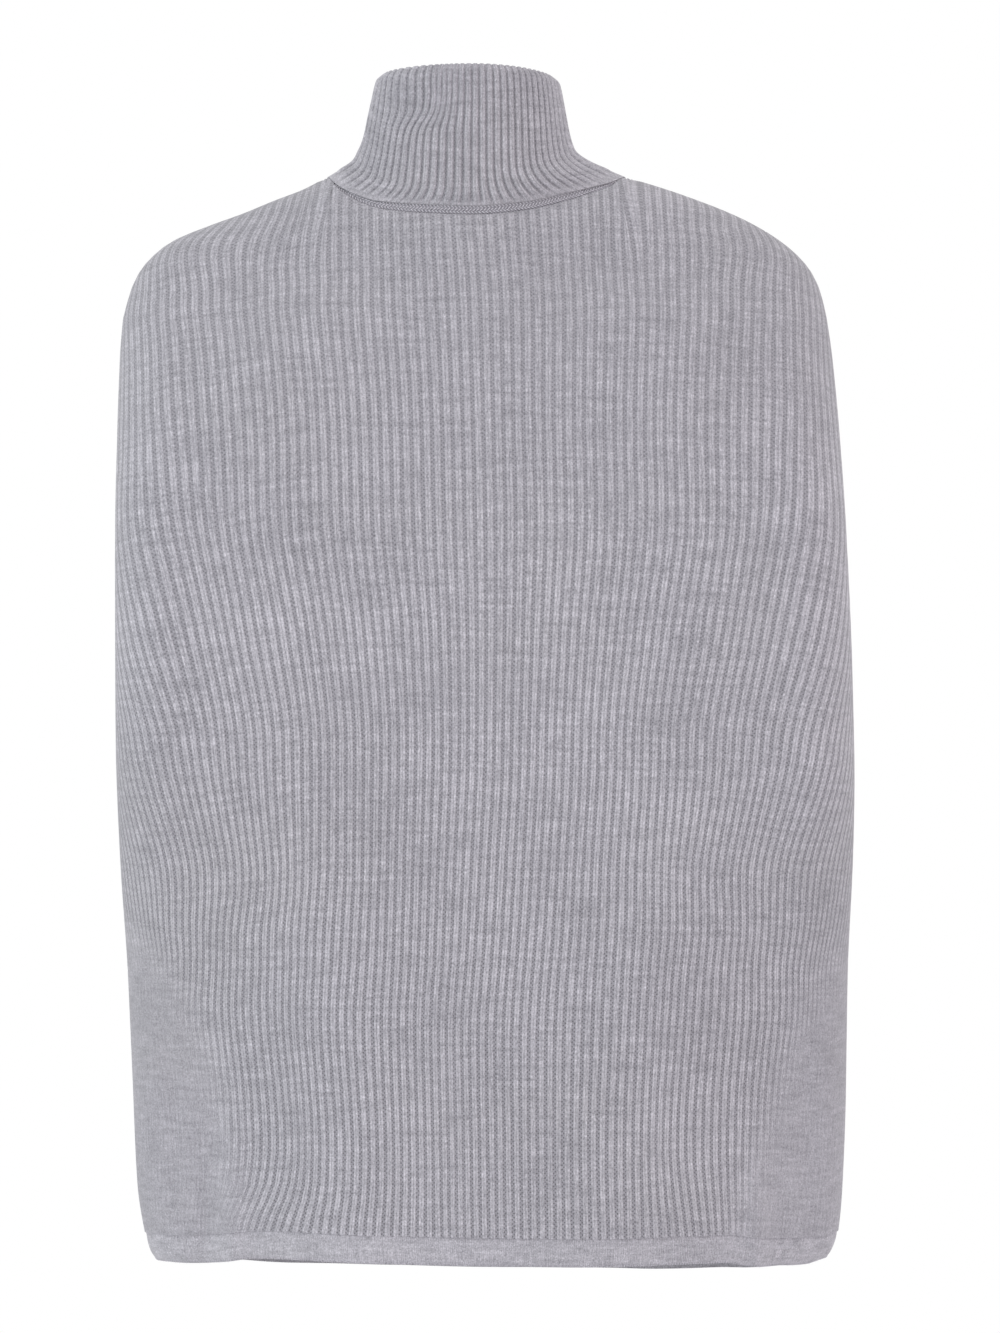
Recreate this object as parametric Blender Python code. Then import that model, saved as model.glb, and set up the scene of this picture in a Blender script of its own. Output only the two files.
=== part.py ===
"""Knitted poncho sweater: two ribbed panels, a folded rib collar and a plain hem band.

Axes: +Z up, +Y is the wearer's front, +X the wearer's right. The origin is the middle of the
base of the neck, level with the shoulder line, where the garment hangs on its wearer.
All sizes below are in millimetres; the mesh is made in metres.
"""
import math

import bpy
import numpy as np

MM = 0.001
GAP = 0.3              # least space between two pieces at a seam
SEAM_STEP = 0.85       # drawn space where one side of a seam runs in longer steps
PANEL_RIBS = 120       # ribs in a panel, from side seam to side seam
HALF_RIBS = PANEL_RIBS / 2
NECK_RIBS = 14.5       # ribs from the middle rib to the end of the neck opening
COLLAR_RIBS = 68       # ribs round the folded collar
RIB_PEAK = 1.1         # how far the top of a rib stands over the reference surface
RIB_VALLEY = -0.1      # the furrow between two ribs
WALL_INSIDE = 1.6      # reference surface to the plain inside
BAND_HEIGHT = 17.0     # plain hem band
BAND_OUTSIDE = 0.6     # its outside over the reference surface
NECK_POINT_HEIGHT = 4.0
NECK_DEPTH = {"back": 66, "front": 86}    # the neck opening behind and before the middle plane
NECK_TILT = 18         # how far the cloth at the neck seam leans back from upright, degrees
NECK_TILT_MORE = 46    # and how much more of it over the shoulders

# Seen from behind: how far the cloth reaches from the middle plane, to the wearer's left and
# right, at each height. The first row is where the shoulder line meets the neck opening.
OUTLINE = {
    "height": [-731, -723, -711, -678, -613, -531, -441, -336, -230, -121, -94, -75, -61.5,
               -50.7, -39.8, -28.9, -20.8, -12.4, -4.3, 4],
    "left":   [213, 217.5, 220.5, 225.5, 228.5, 231.5, 234.5, 235.8, 236, 235.8, 234.8, 230.8,
               225.3, 216.7, 202.5, 176.5, 154, 134, 113.4, 98],
    "right":  [238, 243.2, 247, 250, 252.3, 253, 254.3, 252.5, 248, 241.8, 239, 235.4, 229.9,
               221.4, 208.7, 191.2, 174.4, 153.5, 131.1, 104],
}

# Level sections. wall: half the flat side over the arm. corner: radius from that side to the
# back or front. flank: flat cloth outside the body. rise: run from the flank out to the body.
# back, front: depth at the middle.
SECTION = {
    "height": [-731, -620, -540, -460, -380, -250, -170, -100, -60, 5],
    "wall":   [4,    4,    10,   38,   58,   58,   42,   14,   0,   0],
    "corner": [38,   38,   38,   37,   36,   38,   40,   42,   42,  42],
    "flank":  [30,   30,   20,   8,    0,    0,    0,    0,    0,   0],
    "rise":   [138,  138,  138,  134,  128,  125,  120,  115,  110, 105],
    "back":   [90,   95,   99,   103,  106,  107,  105,  102,  99,  96],
    "front":  [109,  114,  119,  124,  129,  132,  130,  123,  115, 104],
}
SHOULDER_RISE = {"back": 165, "front": 200}    # fall below the shoulder line to the full depth
NECK_BULGE = {"back": 20, "front": 26}    # extra depth at the root of the neck
EASE_RUN = 9            # run over which the shoulder's slope sets in beside the neck
NECK_EASE = 65          # run below the neck opening over which the ribs take their spread
NECK_BULGE_WIDTH = 72
NECK_BULGE_HEIGHT = 62

# The neck opening: height of its edge across the garment.
NECK_EDGE = {
    "across": [-98, -90, -76, -62, -37, 2, 35, 63, 80, 94, 104],
    "back":   [4, -6, -15.5, -21, -24.5, -26.5, -23, -15.5, -9.5, -3.5, 4],
    "front":  [4, -12, -27, -38, -50, -56, -51, -38, -26, -12, 4],
}

# The lower edge of the hem band across the garment.
HEM_EDGE = {
    "across": [-221, -212, -185, -145, -118, -60, 5, 60, 115, 170, 196, 223, 235, 242],
    "back":   [-728, -727, -726, -720.5, -719.5, -720.2, -721.5, -722, -722.2, -723.2, -727,
               -728.3, -728.5, -727],
    "front":  [-728, -731, -735, -741, -744, -748.5, -750.5, -751, -750, -745, -742.5,
               -738.5, -733, -727],
}

# Where the ribs run: the middle rib's place across, then the share of the half section, middle
# to seam, at which each numbered rib lies. Above 1 the rib has ended on the shoulder seam.
RIB_FLOW = {
    "height": [-731,  -712,  -640,  -570,  -510,  -455,  -382,  -310,  -240,  -165,  -80,
               -35,   -20,   -8,    4],
    "middle": [2,     1,     0,     -1,    3,     6,     9.5,   10,    9.5,   8,     5.5,
               2,     1,     0,     0],
    10:       [0.195, 0.194, 0.190, 0.191, 0.187, 0.180, 0.175, 0.186, 0.205, 0.216, 0.262,
               0.314, 0.37,  0.46,  0.67],
    15:       [0.300, 0.297, 0.289, 0.295, 0.286, 0.270, 0.263, 0.281, 0.307, 0.325, 0.393,
               0.475, 0.56,  0.70,  1.02],
    20:       [0.405, 0.400, 0.389, 0.394, 0.385, 0.362, 0.351, 0.375, 0.410, 0.432, 0.525,
               0.66,  0.79,  1.00,  1.38],
    25:       [0.525, 0.512, 0.477, 0.485, 0.475, 0.445, 0.444, 0.478, 0.515, 0.550, 0.667,
               0.836, 1.01,  1.26,  1.72],
    30:       [0.615, 0.607, 0.585, 0.590, 0.570, 0.530, 0.538, 0.578, 0.625, 0.680, 0.808,
               1.00,  1.22,  1.50,  2.07],
    35:       [0.690, 0.687, 0.685, 0.692, 0.660, 0.617, 0.635, 0.698, 0.755, 0.800, 0.945,
               1.17,  1.43,  1.77,  2.41],
    40:       [0.755, 0.754, 0.762, 0.775, 0.745, 0.702, 0.728, 0.800, 0.868, 0.920, 1.08,
               1.35,  1.64,  2.00,  2.76],
    60:       [1,     1,     1,     1,     1,     1,     1,     1,     1.12,  1.30,  1.60,
               2.00,  2.44,  3.00,  4.14],
}

# Over the fold by the hem on the wearer's left the ribs fan out: how many ribs further out they
# lie at each height, and the part of that which each rib takes.
HEM_FAN = {
    "height": [-731, -705, -690, -672, -640, -560, -480],
    "shift":  [5,    4.4,  3.2,  1.6,  1.1,  1.1,  0],
}
FAN_PART = {
    "rib":  [4, 12,  17,   22,   28, 60],
    "part": [0, 0.2, 0.35, 0.67, 1,  0],
}

# The collar's outer layer, from its free edge (0) to the top of the fold (1): how far its outside
# stands from the neck axis.
COLLAR = {
    "height": [0.12, 0.22, 0.36, 0.55, 0.80, 0.94, 1.0],
    "left":   [80.5, 76.8, 73,   70.3, 66.6, 64.2, 60.5],
    "right":  [78.5, 70,   66.4, 63.8, 60.8, 58.6, 55],
    "back":   [69,   66.5, 64.5, 62.5, 61,   60,   57.5],
    "front":  [86,   81.5, 77.5, 74.5, 71.5, 70,   67.5],
}
COLLAR_TOP = {"left": 74, "right": 72, "back": 74.5, "front": 60}
COLLAR_HANG = {"side": 2.5, "end": 4.8}    # free edge above the neck seam
COLLAR_SPREAD = {"edge": 0.92, "top": 0.58}    # 1: ribs even as seen from behind, 0: as on a tube
SPREAD_REACH = 0.98     # how far the even spread reaches towards the neck points
COLLAR_STAND = 3.2     # free edge out from the neck seam
LAYER = 1.7            # collar layer, under its ribs
SEAM_LIFT = 1.0        # collar's lower edge above the neck seam line

# Heights down a rib, as shares of its length: close together over the rounded shoulder.
RIB_STEPS = [0, 0.02, 0.065, 0.145, 0.22, 0.305, 0.42, 0.505, 0.60, 0.72, 0.84, 1]
INSIDE_RATE = 5        # rib lines outside for each line of points inside
INSIDE_DROP = 4        # the inside's upper edge lies this many times lower than the outside's


def smooth_join(start, start_slope, end, end_slope, t):
    """A smooth line from start to end as t runs from 0 to 1."""
    return ((1 + 2 * t) * (1 - t) ** 2 * start + t * (1 - t) ** 2 * start_slope
            + t * t * (3 - 2 * t) * end + t * t * (t - 1) * end_slope)


def smooth_curve(xs, ys, x):
    """A smooth line through the named points that never swings past them."""
    xs, ys, x = np.asarray(xs, float), np.asarray(ys, float), np.asarray(x, float)
    span = np.diff(xs)
    slope = np.diff(ys) / span
    tilt = np.concatenate([[slope[0]], np.zeros(len(xs) - 2), [slope[-1]]])
    same = slope[:-1] * slope[1:] > 0
    pair = np.where(same, slope[:-1] + slope[1:], 1.0)
    tilt[1:-1] = np.where(same, 2 * slope[:-1] * slope[1:] / pair, 0)
    x = np.clip(x, xs[0], xs[-1])
    i = np.clip(np.searchsorted(xs, x) - 1, 0, len(span) - 1)
    t, h = (x - xs[i]) / span[i], span[i]
    return smooth_join(ys[i], h * tilt[i], ys[i + 1], h * tilt[i + 1], t)


def column(table, name, height):
    return smooth_curve(table["height"], table[name], height)


def side_name(side):
    return "left" if side < 0 else "right"


def soft_step(t):
    t = np.clip(t, 0, 1)
    return t * t * (3 - 2 * t)


def reach(height, side):
    """Distance of the outline from the middle plane."""
    return column(OUTLINE, side_name(side), height)


def shoulder_height(x, side):
    """Height of the shoulder line over a place across the garment, level over the neck."""
    edge = np.asarray(OUTLINE[side_name(side)][::-1], float)
    top = np.asarray(OUTLINE["height"][::-1], float)
    rising = int(np.argmax(top < -110))
    return smooth_curve(edge[:rising], top[:rising], np.abs(x))


def edge_distance(x, z, side):
    """Distance of points from the outline, seen from behind: level to the side of the garment
    or straight up to its shoulder line, less the slope there, whichever is nearer."""
    lean = (reach(z + 1, side) - reach(z - 1, side)) / 2
    fall = (shoulder_height(np.abs(x) + EASE_RUN, side)
            - shoulder_height(np.abs(x) - EASE_RUN, side)) / (2 * EASE_RUN)
    level = (reach(z, side) - np.abs(x)) / np.sqrt(1 + lean ** 2)
    upright = (shoulder_height(x, side) - z) / np.sqrt(1 + fall ** 2)
    return np.clip(np.minimum(level, upright), 0, None)


def depth(x, z, side, face):
    """How far the cloth stands out to the back or front of the middle plane."""
    wall, corner = column(SECTION, "wall", z), column(SECTION, "corner", z)
    flank, rise = column(SECTION, "flank", z), column(SECTION, "rise", z)
    full = column(SECTION, face, z)
    near = np.clip(edge_distance(x, z, side) / corner, 0, 1)
    round_edge = np.sqrt(1 - (1 - near) ** 2)
    widest = reach(np.minimum(z, -110), side)
    inward = np.clip((widest - np.abs(x) - flank) / rise, 0, 1)
    inward = (soft_step(inward) + inward * (2 - inward)) / 2
    downward = soft_step((shoulder_height(x, side) - z) / SHOULDER_RISE[face])
    bulge = NECK_BULGE[face] * np.exp(-(x / NECK_BULGE_WIDTH) ** 2
                                      - ((z + 26) / NECK_BULGE_HEIGHT) ** 2)
    return (wall + corner * round_edge + (full - wall - corner) * inward * downward
            + bulge * round_edge)


def level_sections(side, face):
    """Half sections from the middle rib to the seam, one a millimetre of height: places,
    depths and the run along each."""
    middle = column(RIB_FLOW, "middle", HEIGHTS)[:, None]
    edge = side * reach(HEIGHTS, side)[:, None]
    x = middle + (edge - middle) * np.sin(np.linspace(0, 1, 80) * math.pi / 2)
    y = depth(x, np.broadcast_to(HEIGHTS[:, None], x.shape), side, face)
    x, y = np.hstack([x, edge]), np.hstack([y, np.zeros_like(edge)])
    run = np.hypot(np.diff(x, axis=1), np.diff(y, axis=1)).cumsum(axis=1)
    return x, y, np.hstack([np.zeros_like(edge), run])


HEIGHTS = np.append(np.arange(-755.0, 3.5, 1.0), NECK_POINT_HEIGHT)
SECTIONS = {(s, f): level_sections(s, f) for s in (-1, 1) for f in ("back", "front")}
RIB_NUMBERS = [0] + [k for k in RIB_FLOW if not isinstance(k, str)]
SHARES = [column(RIB_FLOW, k, HEIGHTS) for k in RIB_NUMBERS[1:]]


def rib_share(rib, z):
    """Share of the half section at which a rib, numbered from the middle, lies at a height."""
    shares = [0.0] + [np.interp(z, HEIGHTS, share) for share in SHARES]
    return float(smooth_curve(RIB_NUMBERS, shares, rib))


def hem_fan(rib, side, z):
    """How many ribs further out a rib lies where the ribs fan out."""
    part = np.interp(rib, FAN_PART["rib"], FAN_PART["part"]) if side < 0 else 0
    return float(part * smooth_curve(HEM_FAN["height"], HEM_FAN["shift"], z))


def rib_point(rib, side, z, face):
    """Place across and depth of a rib at a height."""
    above = int(np.clip(np.searchsorted(HEIGHTS, z), 1, len(HEIGHTS) - 1))
    t = (z - HEIGHTS[above - 1]) / (HEIGHTS[above] - HEIGHTS[above - 1])
    x, y, run = ((1 - t) * rows[above - 1] + t * rows[above] for rows in SECTIONS[side, face])
    along = min(rib_share(rib + hem_fan(rib, side, z), z), 1.0) * run[-1]
    return float(np.interp(along, run, x)), float(np.interp(along, run, y))


def neck_edge(x, face):
    return smooth_curve(NECK_EDGE["across"], NECK_EDGE[face], x)


def neck_line(side, face):
    """Half the neck opening's edge, from the middle rib out to the shoulder line: places across,
    heights, and the share of the neck's ribs up to each, spread evenly across."""
    end = NECK_EDGE["across"][0 if side < 0 else -1]
    across = np.sin(np.linspace(0, 1, 60) * math.pi / 2)
    x = 1 + (end - 1) * across
    return x, neck_edge(x, face), across


NECK_LINES = {(s, f): neck_line(s, f) for s in (-1, 1) for f in ("back", "front")}


def rib_top(rib, side, face):
    """Place across and height at which a rib begins, on the neck opening's edge or on the
    shoulder seam."""
    if rib <= NECK_RIBS:
        x, z, share = NECK_LINES[side, face]
        part = rib / NECK_RIBS
        return float(np.interp(part, share, x)), float(np.interp(part, share, z))
    low, high = -330.0, NECK_POINT_HEIGHT
    for _ in range(22):
        z = (low + high) / 2
        low, high = (z, high) if rib_share(rib, z) < 1.001 else (low, z)
    return rib_point(rib, side, low, face)[0], low


def rib_end(rib, side, face):
    """Height at which a rib ends on the hem band."""
    z = -710.0
    for _ in range(3):
        x = rib_point(rib, side, z, face)[0]
        z = float(hem_edge(x, face)) + BAND_HEIGHT + GAP
    return z


def hem_edge(x, face):
    return smooth_curve(HEM_EDGE["across"], HEM_EDGE[face], x)


def unit(v):
    return v / np.linalg.norm(v, axis=-1, keepdims=True)


def neck_directions(x, y):
    """At the neck seam: out from the cloth, and up along it from panel to collar."""
    half = np.where(x < 0, -NECK_EDGE["across"][0], NECK_EDGE["across"][-1])
    deep = np.where(y < 0, NECK_DEPTH["back"], NECK_DEPTH["front"])
    plan = unit(np.stack([x / half ** 2, y / deep ** 2], axis=-1))
    tilt = np.radians(NECK_TILT + NECK_TILT_MORE * np.minimum(np.abs(x) / half, 1) ** 4)
    cos, sin = np.cos(tilt)[..., None], np.sin(tilt)[..., None]
    out = np.concatenate([plan * cos, sin], axis=-1)
    along = np.concatenate([-plan * sin, cos], axis=-1)
    return out, along


def rib_columns():
    """Every furrow and rib top across a panel, numbered from the middle."""
    return np.arange(-HALF_RIBS, HALF_RIBS + 0.25, 0.5)


def panel_surface(face):
    """The reference surface of a panel, a row of points for each step down the ribs. Ribs that
    start at or beside the neck opening lead evenly from there into the rest of their run."""
    turn = -1 if face == "back" else 1
    grid = []
    for number in rib_columns():
        side, rib = (-1 if number < 0 else 1), abs(number)
        (start, top), end = rib_top(rib, side, face), rib_end(rib, side, face)
        low = top - NECK_EASE
        goal = rib_point(rib, side, low, face)[0]
        lean = (rib_point(rib, side, low + 2, face)[0] - goal) / 2
        led = 1 - soft_step((rib - NECK_RIBS - 2) / 10)
        line = []
        for step in RIB_STEPS:
            z = top + (end - top) * step
            x, y = rib_point(rib, side, z, face)
            if z > low and led > 0:
                t = (z - low) / NECK_EASE
                even = smooth_join(goal, lean * NECK_EASE, start, start - goal, t)
                x += (even - x) * led
                y = float(depth(x, z, side, face)) if 0 < step or rib < NECK_RIBS else 0.0
            line.append((x, turn * y, z))
        grid.append(line)
    return np.array(grid).transpose(1, 0, 2)


def surface_normals(grid, face):
    across = np.gradient(grid, axis=1)
    down = np.gradient(grid, axis=0)
    normal = np.cross(across, down)
    normal[0, [0, -1]] = normal[1, [0, -1]]
    return unit(normal) if face == "back" else -unit(normal)


def shell(name, outer, inner, rate):
    """Close a wall between two grids of points, the outer one with rate points to an inner one."""
    rows, fine, coarse = outer.shape[0], outer.shape[1], inner.shape[1]
    points = np.concatenate([outer.reshape(-1, 3), inner.reshape(-1, 3)])

    def o(r, c):
        return r * fine + c

    def i(r, g):
        return rows * fine + r * coarse + g

    faces = []
    for r in range(rows - 1):
        for c in range(fine - 1):
            faces += [(o(r, c), o(r, c + 1), o(r + 1, c + 1)), (o(r, c), o(r + 1, c + 1), o(r + 1, c))]
        for g in range(coarse - 1):
            faces += [(i(r, g + 1), i(r, g), i(r + 1, g)), (i(r, g + 1), i(r + 1, g), i(r + 1, g + 1))]
        last = fine - 1, coarse - 1
        faces += [(o(r, 0), o(r + 1, 0), i(r + 1, 0)), (o(r, 0), i(r + 1, 0), i(r, 0)),
                  (o(r + 1, last[0]), o(r, last[0]), i(r, last[1])),
                  (o(r + 1, last[0]), i(r, last[1]), i(r + 1, last[1]))]
    for r, flip in ((0, 1), (rows - 1, -1)):
        for g in range(coarse - 1):
            fan = fan_faces([o(r, g * rate + k) for k in range(rate + 1)], i(r, g), i(r, g + 1))
            faces += [f[::flip] for f in fan]
    return make_object(name, points, faces)


def fan_faces(fine, start, end):
    """Triangles between a run of fine points and the two coarse points opposite its ends."""
    half = len(fine) // 2
    faces = [(fine[k + 1], fine[k], start if k < half else end) for k in range(len(fine) - 1)]
    return faces + [(fine[half], start, end)]


def make_object(name, points, faces):
    points, faces = np.asarray(points) * MM, np.asarray(faces)
    a, b, c = points[faces[:, 0]], points[faces[:, 1]], points[faces[:, 2]]
    if np.einsum("ij,ij->i", a, np.cross(b, c)).sum() < 0:
        faces = faces[:, ::-1]
    mesh = bpy.data.meshes.new(name)
    mesh.from_pydata(points.tolist(), [], faces.tolist())
    mesh.materials.append(YARN)
    item = bpy.data.objects.new(name, mesh)
    bpy.context.scene.collection.objects.link(item)
    return item


def make_panel(face):
    ref = panel_surface(face)
    out = surface_normals(ref, face)
    numbers = rib_columns()
    neck = np.abs(numbers) <= NECK_RIBS
    shift = np.zeros_like(ref)
    neck_out, neck_along = neck_directions(ref[0, neck, 0], ref[0, neck, 1])
    out[0, neck] = neck_out
    shift[0, neck] = -neck_along * GAP / 2
    out[0, ~neck, 1] = 0
    out[:, [0, -1], 1] = 0
    out[-1, :, 2] = 0
    out = unit(out)
    wave = np.where(np.arange(len(numbers)) % 2 == 1, RIB_PEAK, RIB_VALLEY)[None, :, None]
    outer = ref + out * wave + shift
    inner = (ref - out * WALL_INSIDE + shift * INSIDE_DROP)[:, ::INSIDE_RATE]
    seam = -GAP / 2 if face == "back" else GAP / 2
    on_shoulder = np.abs(numbers) >= NECK_RIBS
    for grid, shoulder in ((outer, on_shoulder), (inner, on_shoulder[::INSIDE_RATE])):
        grid[0, shoulder, 1] = seam
        grid[:, [0, -1], 1] = seam
    return shell(face + "_panel", outer, inner, INSIDE_RATE)


def collar_ring(share, turn):
    """A ring of the collar's outside at a share of its height, at the given turns round it."""
    sin, cos = np.sin(turn), np.cos(turn)
    half = np.where(sin < 0, column(COLLAR, "left", share), column(COLLAR, "right", share))
    deep = np.where(cos > 0, column(COLLAR, "back", share), column(COLLAR, "front", share))
    end = np.where(cos > 0, COLLAR_TOP["back"], COLLAR_TOP["front"])
    beside = np.where(sin < 0, COLLAR_TOP["left"], COLLAR_TOP["right"])
    top = beside + (end - beside) * cos ** 2
    return np.stack([half * sin, -deep * cos, top], axis=-1)


def spread_turn(numbers, evenness):
    """Angle of each collar rib, from the wearer's right round the back to the left, then round
    the front."""
    half_way = numbers / (COLLAR_RIBS / 2)
    place = 1 - 2 * (half_way % 1)
    place = evenness * place + (1 - evenness) * np.sin(place * math.pi / 2)
    bent = np.arcsin(SPREAD_REACH * place) / math.asin(SPREAD_REACH) * math.pi / 2
    return bent - math.pi * (half_way >= 1)


def neck_seam(count):
    """Points round the neck seam, from the wearer's right over the back to the left and the
    front, evenly spaced along each half."""
    halves = []
    neck = np.abs(rib_columns()) <= NECK_RIBS
    for face, step in (("back", -1), ("front", 1)):
        line = panel_surface(face)[0, neck][::step]
        run = np.append(0, np.linalg.norm(np.diff(line, axis=0), axis=1).cumsum())
        at = np.linspace(0, run[-1], count // 2, endpoint=False)
        halves.append(np.stack([np.interp(at, run, line[:, k]) for k in range(3)], axis=-1))
    return np.concatenate(halves)


def make_collar():
    """The folded collar: up from the neck seam, over, and down to a free edge."""
    fine = 2 * COLLAR_RIBS
    numbers = np.arange(fine) / 2
    edge_turn = spread_turn(numbers, COLLAR_SPREAD["edge"])
    top_turn = spread_turn(numbers, COLLAR_SPREAD["top"])
    seam = neck_seam(fine)
    half = np.where(seam[:, 0] < 0, -NECK_EDGE["across"][0], NECK_EDGE["across"][-1])
    seam_turn = np.arcsin(np.clip(seam[:, 0] / half, -1, 1))
    seam_turn = np.where(numbers < COLLAR_RIBS / 2, seam_turn, -math.pi - seam_turn)
    closed = np.append(numbers, COLLAR_RIBS)
    place = np.interp(-edge_turn, -np.append(seam_turn, -1.5 * math.pi), closed)
    seam = np.stack([np.interp(place, closed, np.append(line, line[0])) for line in seam.T], -1)
    out, along = neck_directions(seam[:, 0], seam[:, 1])
    beside = (np.sin(edge_turn) ** 4)[:, None]
    hang = COLLAR_HANG["end"] + (COLLAR_HANG["side"] - COLLAR_HANG["end"]) * beside
    free = seam + out * COLLAR_STAND + along * hang

    def ring(share):
        turn = edge_turn + (top_turn - edge_turn) * share * (1.6 - 0.6 * share)
        line = collar_ring(share, turn)
        line[:, 2] = free[:, 2] + (line[:, 2] - free[:, 2]) * share
        return line

    def facing(share):
        low, high = ring(share - 0.03), ring(min(share + 0.03, 1))
        round_it = np.roll(ring(share), -1, axis=0) - np.roll(ring(share), 1, axis=0)
        return unit(np.cross(high - low, round_it))

    wave = np.where(np.arange(fine) % 2 == 1, RIB_PEAK, RIB_VALLEY)[:, None]
    up = np.array([0, 0, 1.0])
    ribbed = [free + out * wave]
    ribbed += [ring(s) + facing(s) * wave for s in (0.12, 0.30, 0.80)]
    ribbed += [ring(0.94) + unit(facing(0.94) + 0.5 * up) * wave, ring(1.0) + up * wave]
    inside = LAYER * 2 + 0.8
    plain = [ring(0.93) - facing(0.93) * inside, ring(0.5) - facing(0.5) * inside,
             ring(0.16) - facing(0.16) * inside,
             seam - out * WALL_INSIDE + along * SEAM_LIFT, seam + out * 0.2 + along * SEAM_LIFT,
             ring(0.16) - facing(0.16) * (LAYER + 0.8), ring(0.86) - facing(0.86) * (LAYER + 0.3),
             ring(0.16) - facing(0.16) * LAYER, free - out * LAYER]
    plain = [line[::2] for line in plain]
    points = np.concatenate(ribbed + plain)
    start = np.cumsum([0] + [len(line) for line in ribbed + plain])
    faces = []
    for k in range(len(ribbed + plain) - 1):
        size = len((ribbed + plain)[k])
        if size != len((ribbed + plain)[k + 1]):
            continue
        for c in range(size):
            a, b = start[k] + c, start[k] + (c + 1) % size
            faces += [(a, b, b + size), (a, b + size, a + size)]
    for fine_ring, plain_ring, flip in ((0, len(ribbed + plain) - 1, 1),
                                        (len(ribbed) - 1, len(ribbed), -1)):
        for g in range(COLLAR_RIBS):
            run = [start[fine_ring] + (2 * g + k) % fine for k in range(3)]
            fan = fan_faces(run, start[plain_ring] + g, start[plain_ring] + (g + 1) % COLLAR_RIBS)
            faces += [f[::flip] for f in fan]
    return make_object("collar", points, faces)


def make_hem_band(face):
    turn = -1 if face == "back" else 1
    rows = []
    for drop in (0, 1):
        row = []
        for number in rib_columns()[::4]:
            side, rib = (-1 if number < 0 else 1), abs(number)
            z = rib_end(rib, side, face) - SEAM_STEP - drop * BAND_HEIGHT
            x, y = rib_point(rib, side, z, face)
            row.append((x, turn * y, z))
        rows.append(row)
    ref = np.array(rows)
    out = np.gradient(ref, axis=1)
    out = unit(np.stack([out[..., 1], -out[..., 0], np.zeros(out.shape[:2])], axis=-1))
    out = out if face == "back" else -out
    out[:, [0, -1], 1] = 0
    out = unit(out)
    outer, inner = ref + out * BAND_OUTSIDE, ref - out * WALL_INSIDE
    for grid in (outer, inner):
        grid[:, [0, -1], 1] = -GAP / 2 if face == "back" else GAP / 2
    return shell("hem_band_" + face, outer, inner, 1)


def yarn_material():
    """Soft light grey wool with a touch of violet."""
    material = bpy.data.materials.new("light_grey_wool")
    material.use_nodes = True
    shader = material.node_tree.nodes["Principled BSDF"]
    shader.inputs["Base Color"].default_value = (0.42, 0.413, 0.455, 1)
    shader.inputs["Roughness"].default_value = 0.95
    shader.inputs["Specular IOR Level"].default_value = 0.1
    shader.inputs["Sheen Weight"].default_value = 0.3
    return material


for left_over in list(bpy.data.objects):
    bpy.data.objects.remove(left_over, do_unlink=True)
YARN = yarn_material()
for face in ("back", "front"):
    make_panel(face)
    make_hem_band(face)
make_collar()
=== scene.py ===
# %% [markdown]
# # A knitted poncho sweater
# We dress a ready-made, hollow frame of a poncho sweater in real-looking cloth: two ribbed panels,
# a folded turtleneck, a plain hem band and the linking stitches that join them. The frame gives
# the size and place of every piece, so nothing here has to be fitted by eye.
# %%
import math

import bpy
import numpy as np
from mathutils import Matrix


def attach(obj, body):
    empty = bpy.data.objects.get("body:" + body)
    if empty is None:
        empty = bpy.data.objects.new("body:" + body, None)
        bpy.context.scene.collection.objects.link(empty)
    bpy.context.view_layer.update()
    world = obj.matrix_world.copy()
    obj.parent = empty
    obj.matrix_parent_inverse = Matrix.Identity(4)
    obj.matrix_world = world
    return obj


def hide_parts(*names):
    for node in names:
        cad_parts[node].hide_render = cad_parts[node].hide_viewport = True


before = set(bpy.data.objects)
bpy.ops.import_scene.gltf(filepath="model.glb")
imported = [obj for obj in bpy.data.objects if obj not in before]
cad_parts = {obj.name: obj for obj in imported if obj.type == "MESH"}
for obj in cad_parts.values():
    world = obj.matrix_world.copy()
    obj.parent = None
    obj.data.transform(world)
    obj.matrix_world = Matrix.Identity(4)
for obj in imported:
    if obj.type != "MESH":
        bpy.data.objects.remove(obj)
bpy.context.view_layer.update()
MM = 0.001

# %% [markdown]
# ## Camera, light and floor
# A garment like this is shot from three metres with a long lens, which keeps its proportions
# true. The light is an even white tent: knitwear reads best when nothing is burnt out and only
# the furrows between the ribs fall into shade. Two large, weak lamps give it a little direction.
# %%
EYE = (0.01904, -3.0, -0.32742)
LENS, SENSOR = 119.15, 36
FLOOR_HEIGHT, FLOOR_RADIUS, FLOOR_SIDES = -1.38, 2.4, 96
LAMPS = {       # place, point it faces, power in watts, colour
    "soft_left": ((-2.9, -2.0, 0.1), (-0.1, 0, -0.5), 21, (0.83, 0.97, 1.0)),
    "soft_right": ((2.8, -2.2, 0.2), (0.1, 0, -0.5), 7, (1.0, 0.55, 0.74)),
}
LAMP_WIDTH = 1.8


def put(name, data):
    """A new object in the scene that holds a camera, a lamp or a mesh."""
    item = bpy.data.objects.new(name, data)
    bpy.context.scene.collection.objects.link(item)
    return item


def make_camera():
    data = bpy.data.cameras.new("camera")
    data.lens, data.sensor_width = LENS, SENSOR
    data.clip_start, data.clip_end = 0.05, 60
    camera = put("camera", data)
    camera.location, camera.rotation_euler = EYE, (math.pi / 2, 0, 0)
    bpy.context.scene.camera = camera


def make_lamp(name, place, aim, power, colour):
    data = bpy.data.lights.new(name, "AREA")
    data.shape, data.size, data.energy, data.color = "DISK", LAMP_WIDTH, power, colour
    lamp = put(name, data)
    lamp.location = place
    way = np.array(aim) - np.array(place)
    lamp.rotation_euler = (math.acos(-way[2] / np.linalg.norm(way)), 0,
                           math.atan2(way[1], way[0]) - math.pi / 2)


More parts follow.
